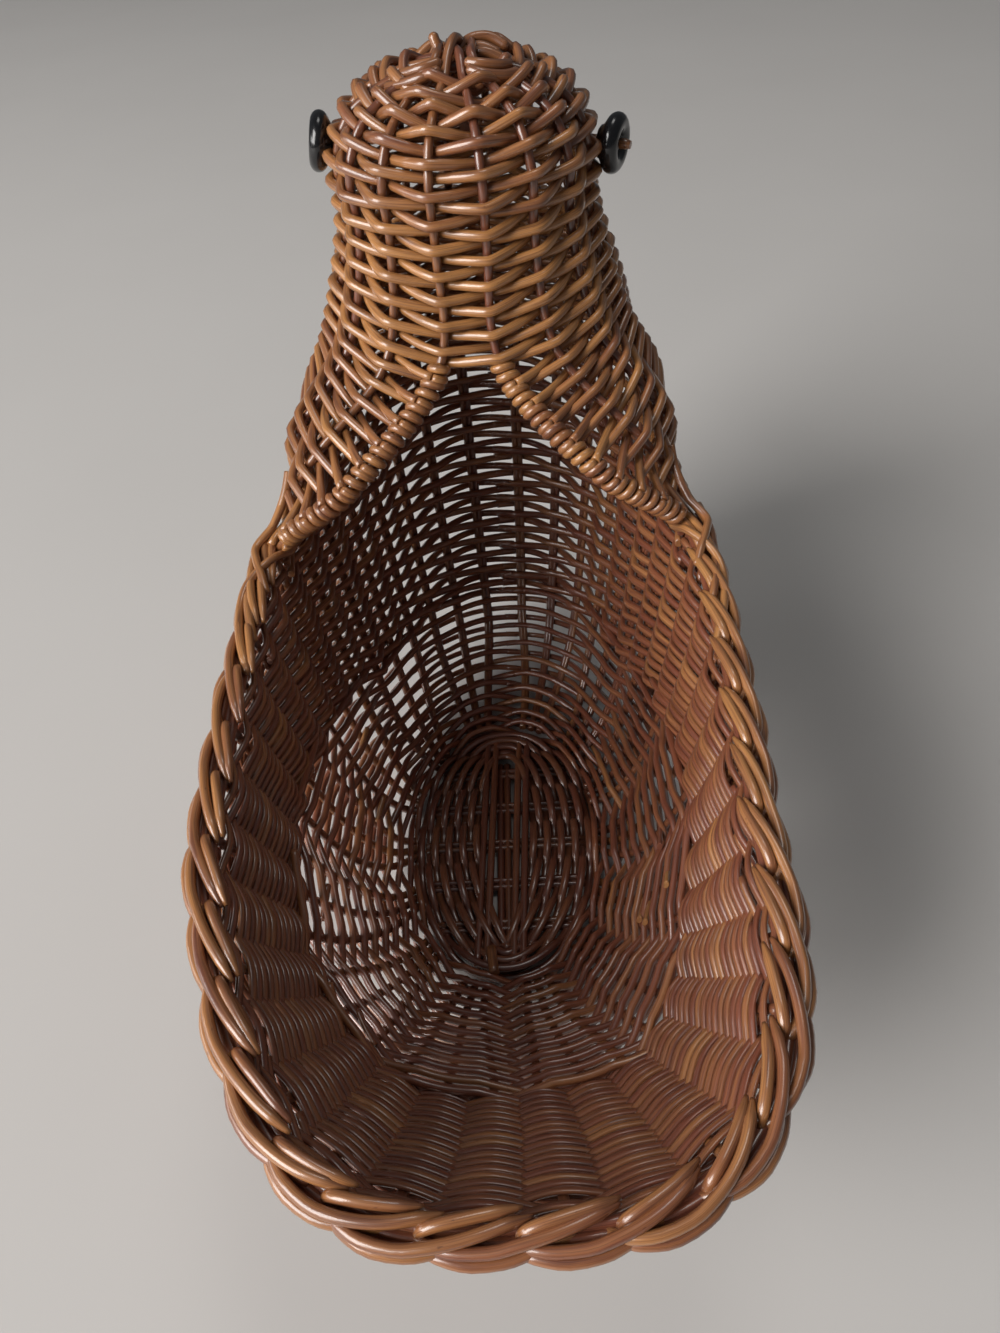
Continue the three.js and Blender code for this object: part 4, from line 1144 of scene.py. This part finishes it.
BLACK = black_plastic()
for word, side in (("right", 1), ("left", -1)):
    seat_x = side * EYE_SEATS[word] + EYE_SHIFT
    centre = Vector((seat_x, HEAD_Y + BASE_MIDDLE_Y, EYE_HEIGHT + EYE_LIFTS[word])) * MM
    turn = Matrix.Rotation(EYE_TILTS[word] + (0 if side > 0 else math.pi), 4, "Z")
    turn = Matrix.Rotation(EYE_LEANS[word], 4, "Y") @ turn
    piece = spun(f"eye_button_{word}", eye_profile(), BLACK)
    piece.data.transform(Matrix.Translation(centre) @ turn)
    settle(piece, "eye_plastic", f"eye_{word}")
    reach = (turn @ Vector((1, 0, 0, 0))).to_3d()
    start = np.array(centre - reach * PEG_DEPTH * MM) / MM
    end = np.array(centre + reach * (EYE_DEPTH + PEG_PROUD) * MM) / MM
    width = np.full(PEG_POINTS, PEG)
    width[-1] = PEG * PEG_TIP
    peg = Strand(straight(start, end, PEG_POINTS), width, PEG_TONE)
    piece = strand_object(f"eye_peg_reed_{word}", [peg], STAKE_REED, PEG_SIDES)
    settle(piece, "stake_reed", f"eye_peg_{word}")

# The beak
# A small cone wound from one weaver round a core, on a stem pushed into the front of the head. It is on the
# far side in the photo, so its size is a guess.
BEAK_HEIGHT = 188
BEAK = 13
BEAK_LENGTH = 14
BEAK_TURNS = 7
BEAK_TURN_POINTS = 24
BEAK_GAP = 0.3
BEAK_INSET = 1.1
BEAK_SHORTENING = 2
BEAK_TIP_RADIUS = 0.7
BEAK_WEAVER = (2.3, 1.4)
BEAK_TONE = 0.7
BEAK_STEM = 4.0
BEAK_STEM_DEPTH = 7
BEAK_CORE_INSET = 2.4
BEAK_CORE_STEP = 0.4
BEAK_CORE_TIP = 1.0
BEAK_CORE_POINTS = 24
BEAK_CORE_TONE = 0.3
beak_y = HEAD_Y + BASE_MIDDLE_Y + HEAD / 2 + BEAK_GAP
tip_y = beak_y + BEAK_LENGTH
angle = np.linspace(0, 2 * np.pi * BEAK_TURNS, BEAK_TURNS * BEAK_TURN_POINTS)
share = angle / angle[-1]
winding = np.interp(share, [0, 1], [BEAK / 2 - BEAK_INSET, BEAK_TIP_RADIUS])
ahead = beak_y + BEAK_INSET + share * (BEAK_LENGTH - BEAK_SHORTENING)
points = np.stack([winding * np.cos(angle), ahead, BEAK_HEIGHT + winding * np.sin(angle)], -1)
wound = Strand(points, np.interp(share, [0, 1], BEAK_WEAVER), BEAK_TONE)
core = straight((0, beak_y - BEAK_STEM_DEPTH, BEAK_HEIGHT), (0, tip_y, BEAK_HEIGHT), BEAK_CORE_POINTS)
core_places = [beak_y, beak_y + BEAK_CORE_STEP, tip_y]
core_width = np.interp(core[:, 1], core_places, [BEAK_STEM, BEAK - BEAK_CORE_INSET, BEAK_CORE_TIP])
piece = strand_object("beak_winding", [wound, Strand(core, core_width, BEAK_CORE_TONE)], WEAVER_REED)
settle(piece, "weaver_reed", "beak")

# The setting
# A plain pale floor in soft light from a large window at the upper left, a low one at the left and a little
# from the ceiling, seen from behind and above the tail.
FLOOR = 3.0
ROOM_LIGHT = 0.09
floor_corners = [(-FLOOR, -FLOOR, 0), (FLOOR, -FLOOR, 0), (FLOOR, FLOOR, 0), (-FLOOR, FLOOR, 0)]
floor_mesh = bpy.data.meshes.new("floor")
floor_mesh.from_pydata(floor_corners, [], [(0, 1, 2, 3)])
floor = bpy.data.objects.new("floor", floor_mesh)
bpy.context.scene.collection.objects.link(floor)
material, tree, shader, maker = new_material("floor_paint")
place = maker.make("ShaderNodeTexCoord", {}, {}, 3)
mottle = maker.make("ShaderNodeTexNoise", {}, {"Vector": place, "Scale": 6.0, "Detail": 3.0})
tone = mottle.mix((0.57, 0.55, 0.53, 1), (0.61, 0.59, 0.57, 1))
tree.links.new(tone.socket, shader.inputs["Base Color"])
shader.inputs["Roughness"].default_value = 0.7
floor_mesh.materials.append(material)

world = bpy.data.worlds.new("room")
world.use_nodes = True
background = world.node_tree.nodes["Background"]
background.inputs["Color"].default_value = (0.9, 0.95, 1.0, 1)
background.inputs["Strength"].default_value = ROOM_LIGHT
bpy.context.scene.world = world


def area_light(name, place, target, size, power, colour):
    data = bpy.data.lights.new(name, "AREA")
    data.shape = "RECTANGLE"
    data.size, data.size_y = size
    data.energy = power
    data.color = colour
    light = bpy.data.objects.new(name, data)
    light.location = place
    light.rotation_euler = (Vector(target) - Vector(place)).to_track_quat("-Z", "Y").to_euler()
    bpy.context.scene.collection.objects.link(light)


area_light("window", (-1.95, -1.35, 1.55), (0, 0, 0.08), (1.6, 2.0), 102, (1.0, 0.98, 0.96))
area_light("low_window", (-2.6, -0.25, 0.78), (0, 0, 0.08), (1.4, 0.5), 13, (1.0, 0.99, 0.98))
area_light("ceiling", (0.2, 0.35, 1.7), (0, 0, 0.1), (0.5, 0.5), 3, (1.0, 0.98, 0.95))

FOCAL = 1000
PICTURE_HEIGHT = 1333
SENSOR = 36
CAMERA_PLACE = (11.2, -193 + BASE_MIDDLE_Y, 280)
PITCH = math.radians(45)
YAW = math.radians(2.8)
ROLL = math.radians(5.5)
camera_data = bpy.data.cameras.new("camera")
camera_data.sensor_fit = "VERTICAL"
camera_data.sensor_height = SENSOR
camera_data.lens = SENSOR * FOCAL / PICTURE_HEIGHT
camera_data.clip_start = 0.01
camera = bpy.data.objects.new("camera", camera_data)
forward = Vector((-math.sin(YAW) * math.cos(PITCH), math.cos(YAW) * math.cos(PITCH), -math.sin(PITCH)))
level_right = Vector((math.cos(YAW), math.sin(YAW), 0))
level_up = level_right.cross(forward)
right = level_right * math.cos(ROLL) - level_up * math.sin(ROLL)
up = level_right * math.sin(ROLL) + level_up * math.cos(ROLL)
place = Vector(CAMERA_PLACE) * MM
camera.matrix_world = Matrix(
    (
        (right.x, up.x, -forward.x, place.x),
        (right.y, up.y, -forward.y, place.y),
        (right.z, up.z, -forward.z, place.z),
        (0, 0, 0, 1),
    )
)
bpy.context.scene.collection.objects.link(camera)
bpy.context.scene.camera = camera
bpy.context.scene.view_settings.view_transform = "Standard"
